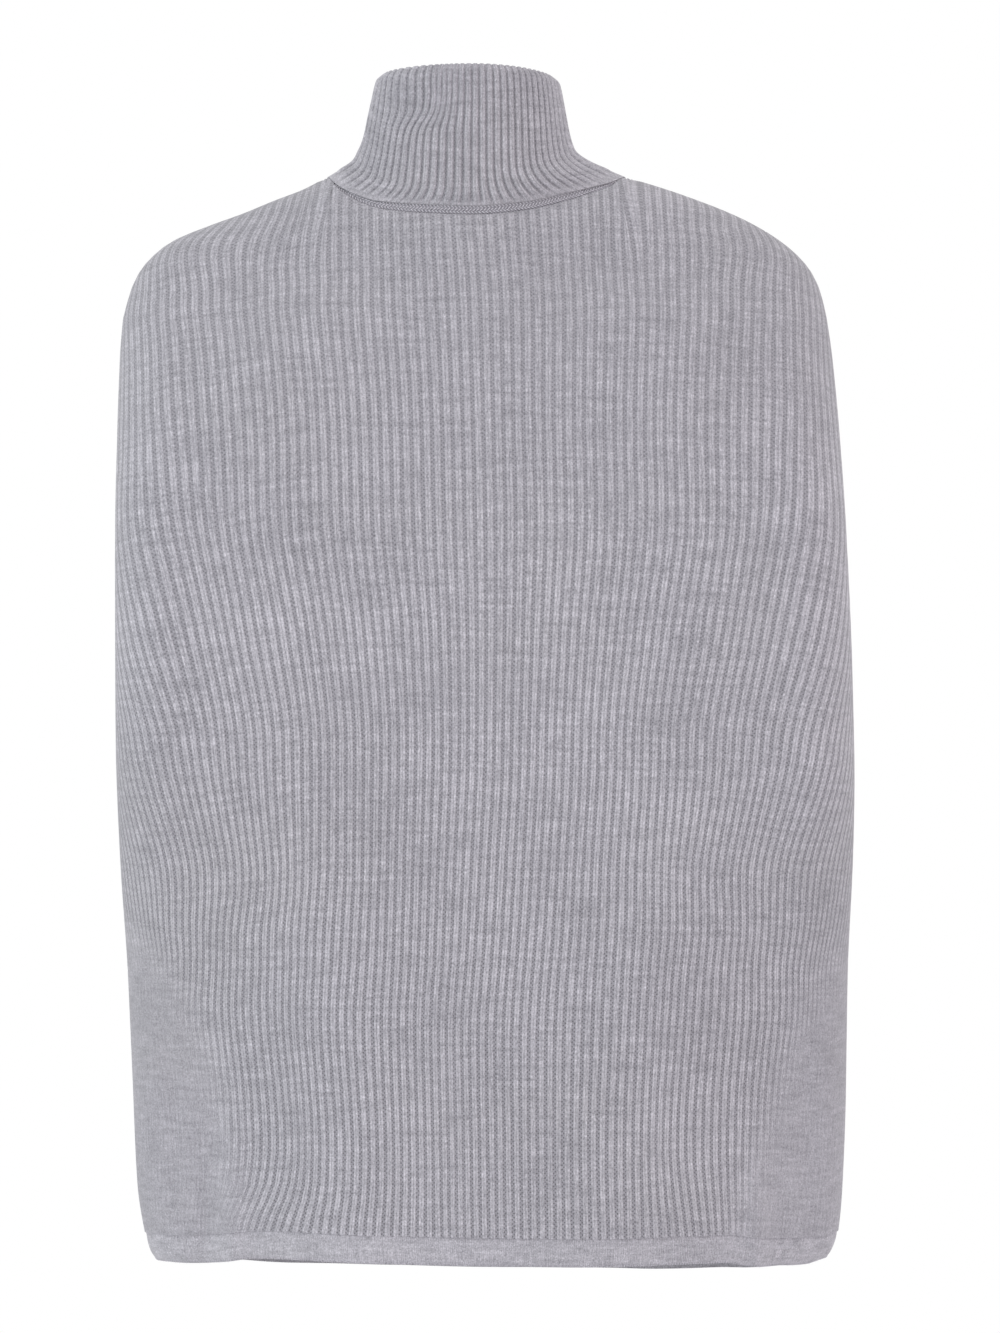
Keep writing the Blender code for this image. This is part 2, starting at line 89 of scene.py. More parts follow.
def make_floor(material):
    turn = np.linspace(0, 2 * math.pi, FLOOR_SIDES, endpoint=False)
    ring = np.stack([FLOOR_RADIUS * np.cos(turn), FLOOR_RADIUS * np.sin(turn),
                     np.full(FLOOR_SIDES, FLOOR_HEIGHT)], -1)
    mesh = bpy.data.meshes.new("floor")
    mesh.from_pydata(ring.tolist(), [], [list(range(FLOOR_SIDES))])
    mesh.materials.append(material)
    put("floor", mesh)


make_camera()
for lamp_name, lamp_setting in LAMPS.items():
    make_lamp(lamp_name, *lamp_setting)
world = bpy.data.worlds.new("white_tent")
world.use_nodes = True
tent = world.node_tree.nodes["Background"].inputs
tent["Color"].default_value, tent["Strength"].default_value = (1, 1, 1, 1), 1.0
bpy.context.scene.world = world
bpy.context.scene.view_settings.view_transform = "Standard"
print("camera, two lamps and a white tent are set")

# %% [markdown]
# ## Node helpers
# Materials and Geometry Nodes are both graphs of small boxes. Each helper adds one box, wires its
# inputs and hands back its output, so a formula can be written almost as on paper.
# %%


class Graph:
    """A node tree, with a short word for each kind of box."""

    def __init__(self, tree):
        self.tree = tree

    def add(self, kind, inputs=None, **settings):
        """One node, with each input wired or set."""
        node = self.tree.nodes.new(kind)
        for key, value in settings.items():
            setattr(node, key, value)
        for key, value in (inputs or {}).items():
            if isinstance(value, bpy.types.NodeSocket):
                self.tree.links.new(value, node.inputs[key])
            else:
                node.inputs[key].default_value = value
        return node

    def calc(self, operation, *values):
        return self.add("ShaderNodeMath", dict(enumerate(values)), operation=operation).outputs[0]

    def times(self, *values):
        """The first two values multiplied, and the third added if there is one."""
        return self.calc("MULTIPLY_ADD" if len(values) > 2 else "MULTIPLY", *values)

    def ramp(self, value, low, high, start=0.0, end=1.0, kind="SMOOTHSTEP"):
        """A soft step: start below low, end above high."""
        return self.add("ShaderNodeMapRange", {"Value": value, 1: low, 2: high, 3: start, 4: end},
                        interpolation_type=kind).outputs[0]

    def blend(self, share, a, b):
        """a where share is 0 and b where it is 1."""
        return self.ramp(share, 0.0, 1.0, a, b, kind="LINEAR")

    def mix(self, share, a, b, **settings):
        return self.add("ShaderNodeMix", {0: share, 6: a, 7: b}, data_type="RGBA",
                        **settings).outputs[2]

    def noise(self, vector, scale, detail, roughness):
        return self.add("ShaderNodeTexNoise", {"Vector": vector, "Scale": scale, "Detail": detail,
                                               "Roughness": roughness}).outputs[0]

    def place(self):
        return self.add("ShaderNodeTexCoord").outputs["Object"]

    def named(self, name, kind="FLOAT"):
        return self.add("GeometryNodeInputNamedAttribute", {"Name": name},
                        data_type=kind).outputs[0]

    def cover(self, shader, colour, relief, strength, depth):
        """Wire a colour and a fine relief into a material's shader."""
        bump = self.add("ShaderNodeBump", {"Strength": strength, "Distance": depth,
                                           "Height": relief})
        self.tree.links.new(bump.outputs[0], shader.inputs["Normal"])
        self.tree.links.new(colour, shader.inputs["Base Color"])


print("node helpers are ready")

# %% [markdown]
# ## Heather yarn
# The yarn is spun from light, mid and dark grey fibres with a touch of violet, so no two stitches
# have quite the same tone. Knitting lays the yarn in rows, so tones run in short dashes along the
# wales and in streaks along the courses. One function paints every knit from its pattern
# coordinates: u counts ribs across, v counts courses up.
# %%
DARK_YARN = (0.258, 0.252, 0.282, 1)
LIGHT_YARN = (0.630, 0.609, 0.662, 1)
WARM_YARN, WARM_SHARE = (0.46, 0.45, 0.42, 1), 0.10
# painted shade in the furrows and in the holes between their stitches
FURROW_SHADE_TONE = (0.298, 0.289, 0.320, 1)
HOLE_SHADE_TONE = (0.070, 0.068, 0.078, 1)
LINK_DARK = (0.42, 0.415, 0.45, 1)
FLOOR_DARK, FLOOR_LIGHT = (0.80, 0.80, 0.81, 1), (0.86, 0.86, 0.87, 1)
FLECKS = {          # stretch to a rib and a course, shift, detail, roughness, weight in the tone
    "dashes":  ((4.2, 0.16, 1), (0, 0, 0), 3, 0.65, 1.0),
    "grains":  ((8.0, 1.5, 1), (31, 7, 0), 2, 0.6, 1.15),
    "streaks": ((0.20, 0.75, 1), (5, 50, 0), 3, 0.6, 0.42),
}
CLOUD_SCALE, CLOUD_WEIGHT = 11.0, 0.42
TONE_RANGE = (0.98, 2.02)                       # tones at which the yarn is dark and light
FIBRES = {"scale": 1000.0, "grain": 0.95, "streak": 0.36, "least": 0.345}
TOP_PAINTED_SHADE, TOP_RANGE = 0.20, (-0.30, -0.05)     # painted shade: the cloth darkened towards the shoulders, which face up into more light
UPPER_RANGE = (-0.68, -0.04)                    # heights, in metres, over which the painted furrow shade weakens
# painted furrow shade: its strength by the hem, and its change towards the shoulders
FURROW_PAINTED_SHADE = {"hem": 0.76, "change": -0.28}
# painted shade in the grooves between the wales, on ribbed and on plain knit
WALE_PAINTED_SHADE = {"rib": 0.50, "plain": 0.18}
STITCH_SLANT, WALE_PLACE = 0.55, 0.54
KNIT_SHEEN = 0.25


def new_material(name, roughness, sheen):
    material = bpy.data.materials.new(name)
    material.use_nodes = True
    tree = material.node_tree
    shader = tree.nodes["Principled BSDF"]
    shader.inputs["Roughness"].default_value = roughness
    shader.inputs["Specular IOR Level"].default_value = 0.12
    shader.inputs["Sheen Weight"].default_value = sheen
    shader.inputs["Sheen Roughness"].default_value = 0.6
    return material, Graph(tree), shader


def heather(g, across, up):
    """Mixed fibres: the yarn's colour with painted shade towards the shoulders, its grains, fine
    mottling, and how far up the place is.
    """
    flat = g.add("ShaderNodeCombineXYZ", {0: across, 1: up}).outputs[0]
    place = g.place()
    tone = g.times(g.noise(place, CLOUD_SCALE, 3, 0.6), CLOUD_WEIGHT)
    fleck = {}
    for name, (size, shift, detail, roughness, weight) in FLECKS.items():
        stretched = g.add("ShaderNodeMapping", {"Vector": flat, "Scale": size, "Location": shift})
        fleck[name] = g.noise(stretched.outputs[0], 1.0, detail, roughness)
        tone = g.times(fleck[name], weight, tone)
    yarn = g.mix(g.ramp(tone, *TONE_RANGE), DARK_YARN, LIGHT_YARN)
    warm = g.ramp(g.noise(place, 7.0, 2, 0.5), 0.45, 0.75)
    yarn = g.mix(g.times(warm, WARM_SHARE), yarn, WARM_YARN)
    level = g.add("ShaderNodeSeparateXYZ", {0: place}).outputs[2]
    # Painted shade: darker towards the shoulders, which face up into more light than the sides.
    top = g.times(g.ramp(level, *TOP_RANGE), TOP_PAINTED_SHADE)
    mottle = g.times(fleck["streaks"], FIBRES["streak"], FIBRES["least"])
    mottle = g.times(g.noise(place, FIBRES["scale"], 1, 0.5), FIBRES["grain"], mottle)
    return (g.mix(top, yarn, DARK_YARN), fleck["grains"], mottle, g.ramp(level, *UPPER_RANGE))


def knit_material(name, furrow_edges=None, closed_painted_shade=0.0):
    """Knit with two wales to a count. If it is ribbed, furrows run from the first to the second
    edge, and the last argument is how much painted shade darkens the cloth where its furrows close."""
    material, g, shader = new_material(name, 0.92, KNIT_SHEEN)
    across, up, _ = g.add("ShaderNodeSeparateXYZ", {
        0: g.add("ShaderNodeUVMap", uv_map="knit").outputs[0]}).outputs
    ease = g.add("ShaderNodeAttribute", attribute_name="ease").outputs["Fac"]
    yarn, grains, mottle, upper = heather(g, across, up)
    ribbed = furrow_edges is not None
    phase = g.calc("FRACT", across)
    off = g.calc("ABSOLUTE", g.calc("SUBTRACT", phase, 0.5))
    # Each rib carries two wales, whose stitches slant towards each other.
    wide = furrow_edges[0] * WALE_PLACE if ribbed else 0.25
    beside = g.calc("ABSOLUTE", g.calc("SUBTRACT", off, wide))
    beside = g.calc("MINIMUM", g.calc("DIVIDE", beside, wide), 1.0)
    slant = g.calc("FRACT", g.times(beside, STITCH_SLANT, up))
    stitch = g.calc("SINE", g.times(slant, math.pi))
    wale = g.calc("SUBTRACT", 1.0, g.calc("POWER", beside, 2.0))
    relief = g.times(wale, g.times(stitch, 0.35, 0.65))
    # Painted shade in the grooves between the two wales and at their sides, weaker where the ribs
    # close.
    wale_painted_shade = g.times(g.ramp(wale, 0.75, 0.0), WALE_PAINTED_SHADE["rib" if ribbed else "plain"])
    colour = g.mix(g.times(wale_painted_shade, ease), yarn, DARK_YARN)
    if ribbed:
        # Painted shade: furrows are darkened, with darker painted holes between the stitches, in
        # turns to the left and right.
        furrow = g.times(g.ramp(off, *furrow_edges), ease)
        left = g.times(g.calc("GREATER_THAN", phase, 0.5), 0.5)
        turn = g.times(g.calc("ADD", up, left), 2 * math.pi)
        spot = g.times(grains, 3.4, g.calc("COSINE", turn))
        hole = g.times(g.ramp(spot, 1.5, 2.8), g.ramp(off, 0.5, 0.44))
        deep = g.times(upper, FURROW_PAINTED_SHADE["change"], FURROW_PAINTED_SHADE["hem"])
        colour = g.mix(g.times(furrow, deep), colour, g.mix(hole, FURROW_SHADE_TONE, HOLE_SHADE_TONE))
        # Painted shade where the furrows close: the flanks by the hem, the side seams and the neck
        # strip.
        closed = g.times(g.ramp(ease, 0.70, 0.0), closed_painted_shade)
        colour = g.mix(closed, colour, FURROW_SHADE_TONE)
        relief = g.blend(furrow, relief, g.times(hole, -0.5))
    colour = g.mix(1.0, colour, mottle, blend_type="MULTIPLY")
    relief = g.times(grains, 0.5, relief)
    g.cover(shader, colour, relief, 0.55, 0.0006)
    return material


def linking_material():
    """The thicker yarn that links the pieces: plied, so it carries a fine twist."""
    material, g, shader = new_material("linking_yarn", 0.9, KNIT_SHEEN)
    place = g.place()
    speck = g.ramp(g.noise(place, 900.0, 2, 0.6), 0.20, 0.50)
    twist = g.add("ShaderNodeTexWave", {"Vector": place, "Scale": 260.0, "Distortion": 1.5},
                  bands_direction="DIAGONAL").outputs["Fac"]
    g.cover(shader, g.mix(speck, LINK_DARK, LIGHT_YARN), twist, 0.4, 0.0002)
    return material


def floor_material():
    """Matt studio board: pale, with the faintest mottling and tooth."""
    material, g, shader = new_material("pale_floor", 0.85, 0.0)
    tooth = g.noise(g.place(), 60.0, 4, 0.6)
    g.cover(shader, g.mix(tooth, FLOOR_DARK, FLOOR_LIGHT), tooth, 0.05, 0.001)
    return material


RIBBED = knit_material("ribbed_knit", (0.285, 0.345), closed_painted_shade=0.42)
COLLAR_KNIT = knit_material("collar_knit", (0.34, 0.39))
PLAIN = knit_material("plain_knit")
LINKING = linking_material()
make_floor(floor_material())
print("materials:", [m.name for m in (RIBBED, COLLAR_KNIT, PLAIN, LINKING)])

# %% [markdown]
# ## The garment's measures
# The form is the one that a knitter's blocking diagram would give: an outline, level sections,
# the neck opening and the hem, all in millimetres from the middle of the base of the neck. +X is
# the wearer's right, +Y their front, +Z up.
# %%
FACING = {"back": -1, "front": 1}               # which way a face looks along Y
GAP, BAND_GAP = 0.3, 0.08
HALF_RIBS, NECK_RIBS, COLLAR_RIBS = 60, 14.5, 68
RIB_PEAK, RIB_VALLEY, WALL_INSIDE = 1.1, -0.45, 1.6
BAND_HEIGHT, BAND_OUTSIDE = 17.0, 0.6
NECK_POINT_HEIGHT, NECK_EASE, EASE_RUN = 4.0, 65, 9
COURSE = 2.8            # height of one knitted row
NECK_STRIP = 0.8        # flat strip between the neck seam and the start of the ribs
NECK_DEPTH = {"back": 66, "front": 86}
NECK_TILT, NECK_TILT_MORE = 18, 46
SHOULDER_RISE = {"back": 165, "front": 200}
SHOULDER_END, HEM_GUESS = -330, -710.0      # lowest rib to start on a shoulder, height of the hem
SHOULDER_FOOT, BODY_MIDDLE = -110, -400     # where the sides round over, middle of the hollow
NECK_BULGE, NECK_BULGE_WIDTH, NECK_BULGE_HEIGHT = {"back": 20, "front": 26}, 72, 62
NECK_BULGE_PLACE = -26

OUTLINE = {
    "height": [-731, -723, -711, -678, -613, -531, -441, -336, -230, -121, -94, -75, -61.5,
               -50.7, -39.8, -28.9, -20.8, -12.4, -4.3, 4],
    "left":   [213, 217.5, 220.5, 225.5, 228.5, 231.5, 234.5, 235.8, 236, 235.8, 234.8, 230.8,
               225.3, 216.7, 202.5, 176.5, 154, 134, 113.4, 98],
    "right":  [238, 243.2, 247, 250, 252.3, 253, 254.3, 252.5, 248, 241.8, 239, 235.4, 229.9,
               221.4, 208.7, 191.2, 174.4, 153.5, 131.1, 104],
}
SECTION = {
    "height": [-731, -620, -540, -460, -380, -250, -170, -100, -60, 5],
    "wall":   [4,    4,    10,   38,   58,   58,   42,   14,   0,   0],
    "corner": [38,   38,   38,   37,   36,   38,   40,   42,   42,  42],
    "flank":  [30,   30,   20,   8,    0,    0,    0,    0,    0,   0],
    "rise":   [138,  138,  138,  134,  128,  125,  120,  115,  110, 105],
    "back":   [90,   95,   99,   103,  106,  107,  105,  102,  99,  96],
    "front":  [109,  114,  119,  124,  129,  132,  130,  123,  115, 104],
}
NECK_EDGE = {
    "across": [-98, -90, -76, -62, -37, 2, 35, 63, 80, 94, 104],
    "back":   [4, -6, -15.5, -21, -24.5, -26.5, -23, -15.5, -9.5, -3.5, 4],
    "front":  [4, -12, -27, -38, -50, -56, -51, -38, -26, -12, 4],
}
HEM_EDGE = {
    "across": [-221, -212, -185, -145, -118, -60, 5, 60, 115, 170, 196, 223, 235, 242],
    "back":   [-728, -727, -726, -720.5, -719.5, -720.2, -721.5, -722, -722.2, -723.2, -727,
               -728.3, -728.5, -727],
    "front":  [-728, -731, -735, -741, -744, -748.5, -750.5, -751, -750, -745, -742.5,
               -738.5, -733, -727],
}
# Where ribs lie, in thousandths of the way from the middle rib to the side seam.
RIB_FLOW = {
    "height": [-731, -712, -640, -570, -510, -455, -382, -310, -240, -165, -80, -35, -20, -8, 4],
    "middle": [2, 1, 0, -1, 3, 6, 9.5, 10, 9.5, 8, 5.5, 2, 1, 0, 0],
    10: [195, 194, 190, 191, 187, 180, 175, 186, 205, 216, 262, 314, 370, 460, 670],
    15: [300, 297, 289, 295, 286, 270, 263, 281, 307, 325, 393, 475, 560, 700, 1020],
    20: [405, 400, 389, 394, 385, 362, 351, 375, 410, 432, 525, 660, 790, 1000, 1380],
    25: [525, 512, 477, 485, 475, 445, 444, 478, 515, 550, 667, 836, 1010, 1260, 1720],
    30: [615, 607, 585, 590, 570, 530, 538, 578, 625, 680, 808, 1000, 1220, 1500, 2070],
    35: [690, 687, 685, 692, 660, 617, 635, 698, 755, 800, 945, 1170, 1430, 1770, 2410],
    40: [755, 754, 762, 775, 745, 702, 728, 800, 868, 920, 1080, 1350, 1640, 2000, 2760],
    60: [1000, 1000, 1000, 1000, 1000, 1000, 1000, 1000, 1120, 1300, 1600, 2000, 2440, 3000, 4140],
}
HEM_FAN = {
    "height": [-731, -705, -690, -672, -640, -560, -480],
    "shift":  [5,    4.4,  3.2,  1.6,  1.1,  1.1,  0],
}
FAN_PART = {
    "rib":  [4, 12,  17,   22,   28, 60],
    "part": [0, 0.2, 0.35, 0.67, 1,  0],
}
QUIET_FLANK = {         # beyond these, the ribs by the hem lie pressed flat
    "height": [-731, -676, -622, -560, -508, -470],
    "left":   [132, 138, 148, 168, 205, 262],
    "right":  [160, 168, 186, 209, 240, 266],
}
QUIET_SHARE, QUIET_LEAD, QUIET_RUN = 0.9, 8, 48     # how far they fade, from where, over what
COLLAR = {
    "height": [0.12, 0.22, 0.36, 0.55, 0.80, 0.94, 1.0],
    "left":   [80.5, 76.8, 73,   70.3, 66.6, 64.2, 60.5],
    "right":  [78.5, 70,   66.4, 63.8, 60.8, 58.6, 55],
    "back":   [69,   66.5, 64.5, 62.5, 61,   60,   57.5],
    "front":  [86,   81.5, 77.5, 74.5, 71.5, 70,   67.5],
}
COLLAR_TOP = {"left": 74, "right": 72, "back": 74.5, "front": 60}
COLLAR_HANG, COLLAR_STAND = {"side": 2.5, "end": 4.8}, 3.2
LAYER, SEAM_LIFT = 1.7, 0.1
COLLAR_SPREAD = {"edge": 0.92, "top": 0.58}    # 1: ribs even as seen from behind, 0: as on a tube
SPREAD_REACH = 0.98
RIB_STEPS = [0, 0.02, 0.065, 0.145, 0.22, 0.305, 0.42, 0.505, 0.60, 0.72, 0.84, 1]
CREASES = [             # face, from x, z, to x, z, width, height (negative where it sinks in)
    ("back", -157, -560, -160, -760, 8, 4.0),
    ("back", -172, -600, -178, -760, 9, -3.6),
    ("back", 190, -600, 193, -760, 8, 4.2),
    ("back", 199, -630, 204, -760, 9, -4.6),
    ("back", 60, -590, 72, -760, 26, 1.6),
    ("back", -40, -640, -46, -760, 22, -1.6),
    ("back", 224, -540, 228, -740, 15, -5.0),
    ("back", -206, -560, -208, -740, 14, -2.8),
    ("front", -150, -540, -160, -790, 14, 2.8),
    ("front", -165, -590, -176, -790, 10, -2.0),
    ("front", 168, -570, 176, -790, 13, 2.2),
    ("front", 185, -600, 194, -790, 9, -2.0),
    ("front", 35, -560, 48, -790, 24, 2.0),
    ("front", -60, -600, -66, -790, 20, -2.0),
]
print("measures:", len(OUTLINE["height"]), "outline rows,", len(CREASES), "creases")

# %% [markdown]
# ## Smooth lines and the cloth's depth
# Short tables become smooth lines with a cubic that never swings past its points. The depth of
# the cloth at any place then follows from the outline: a flat wall over each arm, a round corner,
# and a slow rise towards the middle of the back or chest.
# %%


def smooth_join(start, start_slope, end, end_slope, t):
    return ((1 + 2 * t) * (1 - t) ** 2 * start + t * (1 - t) ** 2 * start_slope
            + t * t * (3 - 2 * t) * end + t * t * (t - 1) * end_slope)


def smooth_curve(xs, ys, x):
    xs, ys, x = np.asarray(xs, float), np.asarray(ys, float), np.asarray(x, float)
    span = np.diff(xs)
    slope = np.diff(ys) / span
    tilt = np.concatenate([[slope[0]], np.zeros(len(xs) - 2), [slope[-1]]])
    same = slope[:-1] * slope[1:] > 0
    pair = np.where(same, slope[:-1] + slope[1:], 1.0)
    tilt[1:-1] = np.where(same, 2 * slope[:-1] * slope[1:] / pair, 0)
    x = np.clip(x, xs[0], xs[-1])
    i = np.clip(np.searchsorted(xs, x) - 1, 0, len(span) - 1)
    t, h = (x - xs[i]) / span[i], span[i]
    return smooth_join(ys[i], h * tilt[i], ys[i + 1], h * tilt[i + 1], t)


def column(table, name, height):
    return smooth_curve(table["height"], table[name], height)


def soft_step(t):
    t = np.clip(t, 0, 1)
    return t * t * (3 - 2 * t)


def length(v):
    return np.linalg.norm(v, axis=-1)


def unit(v):
    return v / length(v)[..., None]


def neck_half(x):
    """Half the neck's width on the side where x lies."""
    return np.where(x < 0, -NECK_EDGE["across"][0], NECK_EDGE["across"][-1])


def reach(height, side):
    return column(OUTLINE, "left" if side < 0 else "right", height)


def shoulder_height(x, side):
    edge = np.asarray(OUTLINE["left" if side < 0 else "right"][::-1], float)
    top = np.asarray(OUTLINE["height"][::-1], float)
    rising = int(np.argmax(top < SHOULDER_FOOT))
    return smooth_curve(edge[:rising], top[:rising], np.abs(x))


def depth(x, z, side, face):
    """How far the cloth stands out to the back or front of the middle plane."""
    lean = (reach(z + 1, side) - reach(z - 1, side)) / 2
    fall = (shoulder_height(np.abs(x) + EASE_RUN, side)
            - shoulder_height(np.abs(x) - EASE_RUN, side)) / (2 * EASE_RUN)
    level = (reach(z, side) - np.abs(x)) / np.sqrt(1 + lean ** 2)
    upright = (shoulder_height(x, side) - z) / np.sqrt(1 + fall ** 2)
    wall, corner = column(SECTION, "wall", z), column(SECTION, "corner", z)
    flank, rise = column(SECTION, "flank", z), column(SECTION, "rise", z)
    near = np.clip(np.clip(np.minimum(level, upright), 0, None) / corner, 0, 1)
    round_edge = np.sqrt(1 - (1 - near) ** 2)
    widest = reach(np.minimum(z, SHOULDER_FOOT), side)
    inward = np.clip((widest - np.abs(x) - flank) / rise, 0, 1)
    inward = (soft_step(inward) + inward * (2 - inward)) / 2
    downward = soft_step((shoulder_height(x, side) - z) / SHOULDER_RISE[face])
    bulge = NECK_BULGE[face] * np.exp(-(x / NECK_BULGE_WIDTH) ** 2
                                      - ((z - NECK_BULGE_PLACE) / NECK_BULGE_HEIGHT) ** 2)
    full = column(SECTION, face, z)
    return (wall + corner * round_edge + (full - wall - corner) * inward * downward
            + bulge * round_edge)


print("depth at mid back, mm:", round(float(depth(np.array(0.0), np.array(-300.0), 1, "back")), 1))

# %% [markdown]
# ## Where the ribs run
# A rib leaves the neck or shoulder seam, follows the back down and gathers with its neighbours
# over the flanks. Sections are sampled once for every millimetre of height and looked up from
# then on, which keeps eight hundred rib lines quick to lay.
# %%
SAMPLES = 241
START_SHARE = 1.001     # a rib of the shoulders starts where it reaches the outline
HEIGHTS = np.append(np.arange(-755.0, 3.5, 1.0), NECK_POINT_HEIGHT)
RIB_NUMBERS = [0] + [k for k in RIB_FLOW if not isinstance(k, str)]
SHARES = np.array([0 * HEIGHTS] + [column(RIB_FLOW, k, HEIGHTS) for k in RIB_NUMBERS[1:]]) / 1000
MIDDLE = column(RIB_FLOW, "middle", HEIGHTS)


def section_table(side, face):
    """Place across and depth at even shares of the way from the middle rib to the seam."""
    edge = side * reach(HEIGHTS, side)[:, None]
    middle = MIDDLE[:, None]
    x = middle + (edge - middle) * np.sin(np.linspace(0, 1, 120) * math.pi / 2)
    y = depth(x, np.broadcast_to(HEIGHTS[:, None], x.shape), side, face)
    x, y = np.hstack([x, edge]), np.hstack([y, np.zeros_like(edge)])
    run = np.hypot(np.diff(x, axis=1), np.diff(y, axis=1)).cumsum(axis=1)
    run = np.hstack([np.zeros_like(edge), run])
    even = np.linspace(0, 1, SAMPLES)
    rows = [[np.interp(even * r[-1], r, a), np.interp(even * r[-1], r, b)]
            for a, b, r in zip(x, y, run)]
    return np.array(rows).transpose(0, 2, 1)


TABLES = {(s, f): section_table(s, f) for s in (-1, 1) for f in FACING}


def on_section(side, face, z, share):
    """Place across and depth at a height and a share of the half section."""
    row = np.interp(z, HEIGHTS, np.arange(len(HEIGHTS)))
    r = np.clip(row.astype(int), 0, len(HEIGHTS) - 2)
    at = np.clip(share, 0, 1) * (SAMPLES - 1)
    c = np.clip(at.astype(int), 0, SAMPLES - 2)
    fr, fc, table = (row - r)[..., None], (at - c)[..., None], TABLES[side, face]
    return ((table[r, c] * (1 - fc) + table[r, c + 1] * fc) * (1 - fr)
            + (table[r + 1, c] * (1 - fc) + table[r + 1, c + 1] * fc) * fr)


def share_line(number):
    """Share of the half section at which a rib lies, one for each tabled height. On the wearer's
    left (negative numbers) the ribs fan out over the fold by the hem."""
    part = np.interp(-number, FAN_PART["rib"], FAN_PART["part"])
    fan = part * smooth_curve(HEM_FAN["height"], HEM_FAN["shift"], HEIGHTS[::4])
    picked = [smooth_curve(RIB_NUMBERS, row, abs(number) + more)
              for row, more in zip(SHARES.T[::4], fan)]
    return np.interp(HEIGHTS, HEIGHTS[::4], picked)


def neck_edge(x, face):
    return smooth_curve(NECK_EDGE["across"], NECK_EDGE[face], x)


def hem_edge(x, face):
    return smooth_curve(HEM_EDGE["across"], HEM_EDGE[face], x)


def neck_line(side, face):
    end = NECK_EDGE["across"][0 if side < 0 else -1]
    across = np.sin(np.linspace(0, 1, 60) * math.pi / 2)
    x = 1 + (end - 1) * across
    return x, neck_edge(x, face), across


NECK_LINES = {(s, f): neck_line(s, f) for s in (-1, 1) for f in FACING}


def rib_path(number, face, steps):
    """Points of one rib line, from its top to the hem band."""
    side, rib = (-1 if number < 0 else 1), abs(number)
    shares = share_line(number)

    def point(z):
        return on_section(side, face, np.asarray(z, float), np.interp(z, HEIGHTS, shares))

    if rib <= NECK_RIBS:
        xs, zs, part = NECK_LINES[side, face]
        start, top = np.interp(rib / NECK_RIBS, part, xs), np.interp(rib / NECK_RIBS, part, zs)
    else:
        upper = HEIGHTS > SHOULDER_END
        top = float(np.interp(START_SHARE, shares[upper], HEIGHTS[upper]))
        start = point(top)[0]
    end = HEM_GUESS
    for _ in range(3):
        end = float(hem_edge(point(end)[0], face)) + BAND_HEIGHT + GAP
    z = top + (end - top) * steps
    x, y = point(z).T
    low = top - NECK_EASE
    led = 1 - soft_step((rib - NECK_RIBS - 2) / 10)
    if led > 0:
        goal = point(low)[0]
        lean = (point(low + 2)[0] - goal) / 2
        near = z > low
        t = (z[near] - low) / NECK_EASE
        even = smooth_join(goal, lean * NECK_EASE, start, start - goal, t)
        x[near] += (even - x[near]) * led
        y[near] = depth(x[near], z[near], side, face)
        if rib >= NECK_RIBS:
            y[0] = 0.0
    return np.stack([x, y, z], -1)


STEP_ROWS = 112
RIB_PARTS = [0, 0.13, 0.27, 0.5, 0.73, 0.87]
FINE_STEPS = np.interp(np.linspace(0, len(RIB_STEPS) - 1, STEP_ROWS),
                       np.arange(len(RIB_STEPS)), RIB_STEPS)


def rib_columns(start, end):
    """Numbers of the point lines that draw each rib's wave."""
    return np.array([k + part for k in range(start, end) for part in RIB_PARTS])


COLUMNS = np.append(rib_columns(-HALF_RIBS, HALF_RIBS), HALF_RIBS)


def crease_lift(x, z, face):
    """How far the creases raise the cloth, soft at their sides and at their upper ends."""
    lift = np.zeros_like(x)
    for ax, az, bx, bz, width, height in (row[1:] for row in CREASES if row[0] == face):
        run = math.hypot(bx - ax, bz - az)
        ux, uz = (bx - ax) / run, (bz - az) / run
        along = (x - ax) * ux + (z - az) * uz
        beside = (x - ax) * uz - (z - az) * ux
        lift += height * np.exp(-(beside / width) ** 2) * soft_step(along / run * 1.3)
    return lift


def off_seam(numbers):
    """0 for the ribs at a side seam, up to 1 an eighth of the way in."""
    return np.clip((1 - np.abs(numbers) / HALF_RIBS) * 8, 0, 1)


def panel_surface(face):
    """The reference surface of a panel: rows down the ribs, columns across them."""
    grid = np.array([rib_path(number, face, FINE_STEPS) for number in COLUMNS]).transpose(1, 0, 2)
    grid[..., 1] += crease_lift(grid[..., 0], grid[..., 2], face) * off_seam(COLUMNS)
    grid[..., 1] *= FACING[face]
    return grid


SURFACES = {face: panel_surface(face) for face in FACING}
print("panel grid:", SURFACES["back"].shape[:2])

# %% [markdown]
# ## From a grid to a closed wall
# Knitted cloth has two sides. The outer points are dense so that they can carry the ribs, the
# inner ones are one to a rib, and a rim closes them. Each outer point keeps its outward direction
# and its pattern coordinates, which Geometry Nodes and the knit material read later.
# %%
SHARP_RIM = math.radians(60)
PANEL_OPENING = (0.12, 2.9, 2.6)    # least ease, rib width at which furrows close, run to open


def surface_normals(grid, face):
    normal = np.cross(np.gradient(grid, axis=1), np.gradient(grid, axis=0))
    normal[0, [0, -1]] = normal[1, [0, -1]]
    return -FACING[face] * unit(normal)


def seam_outward(line):
    """Away from the garment, square to a side or shoulder seam, in its own middle plane."""
    step = np.gradient(line, axis=0)
    away = unit(np.stack([step[:, 2], 0 * step[:, 0], -step[:, 0]], -1))
    return away * np.sign((away * (line - [0, 0, BODY_MIDDLE])).sum(axis=-1))[:, None]


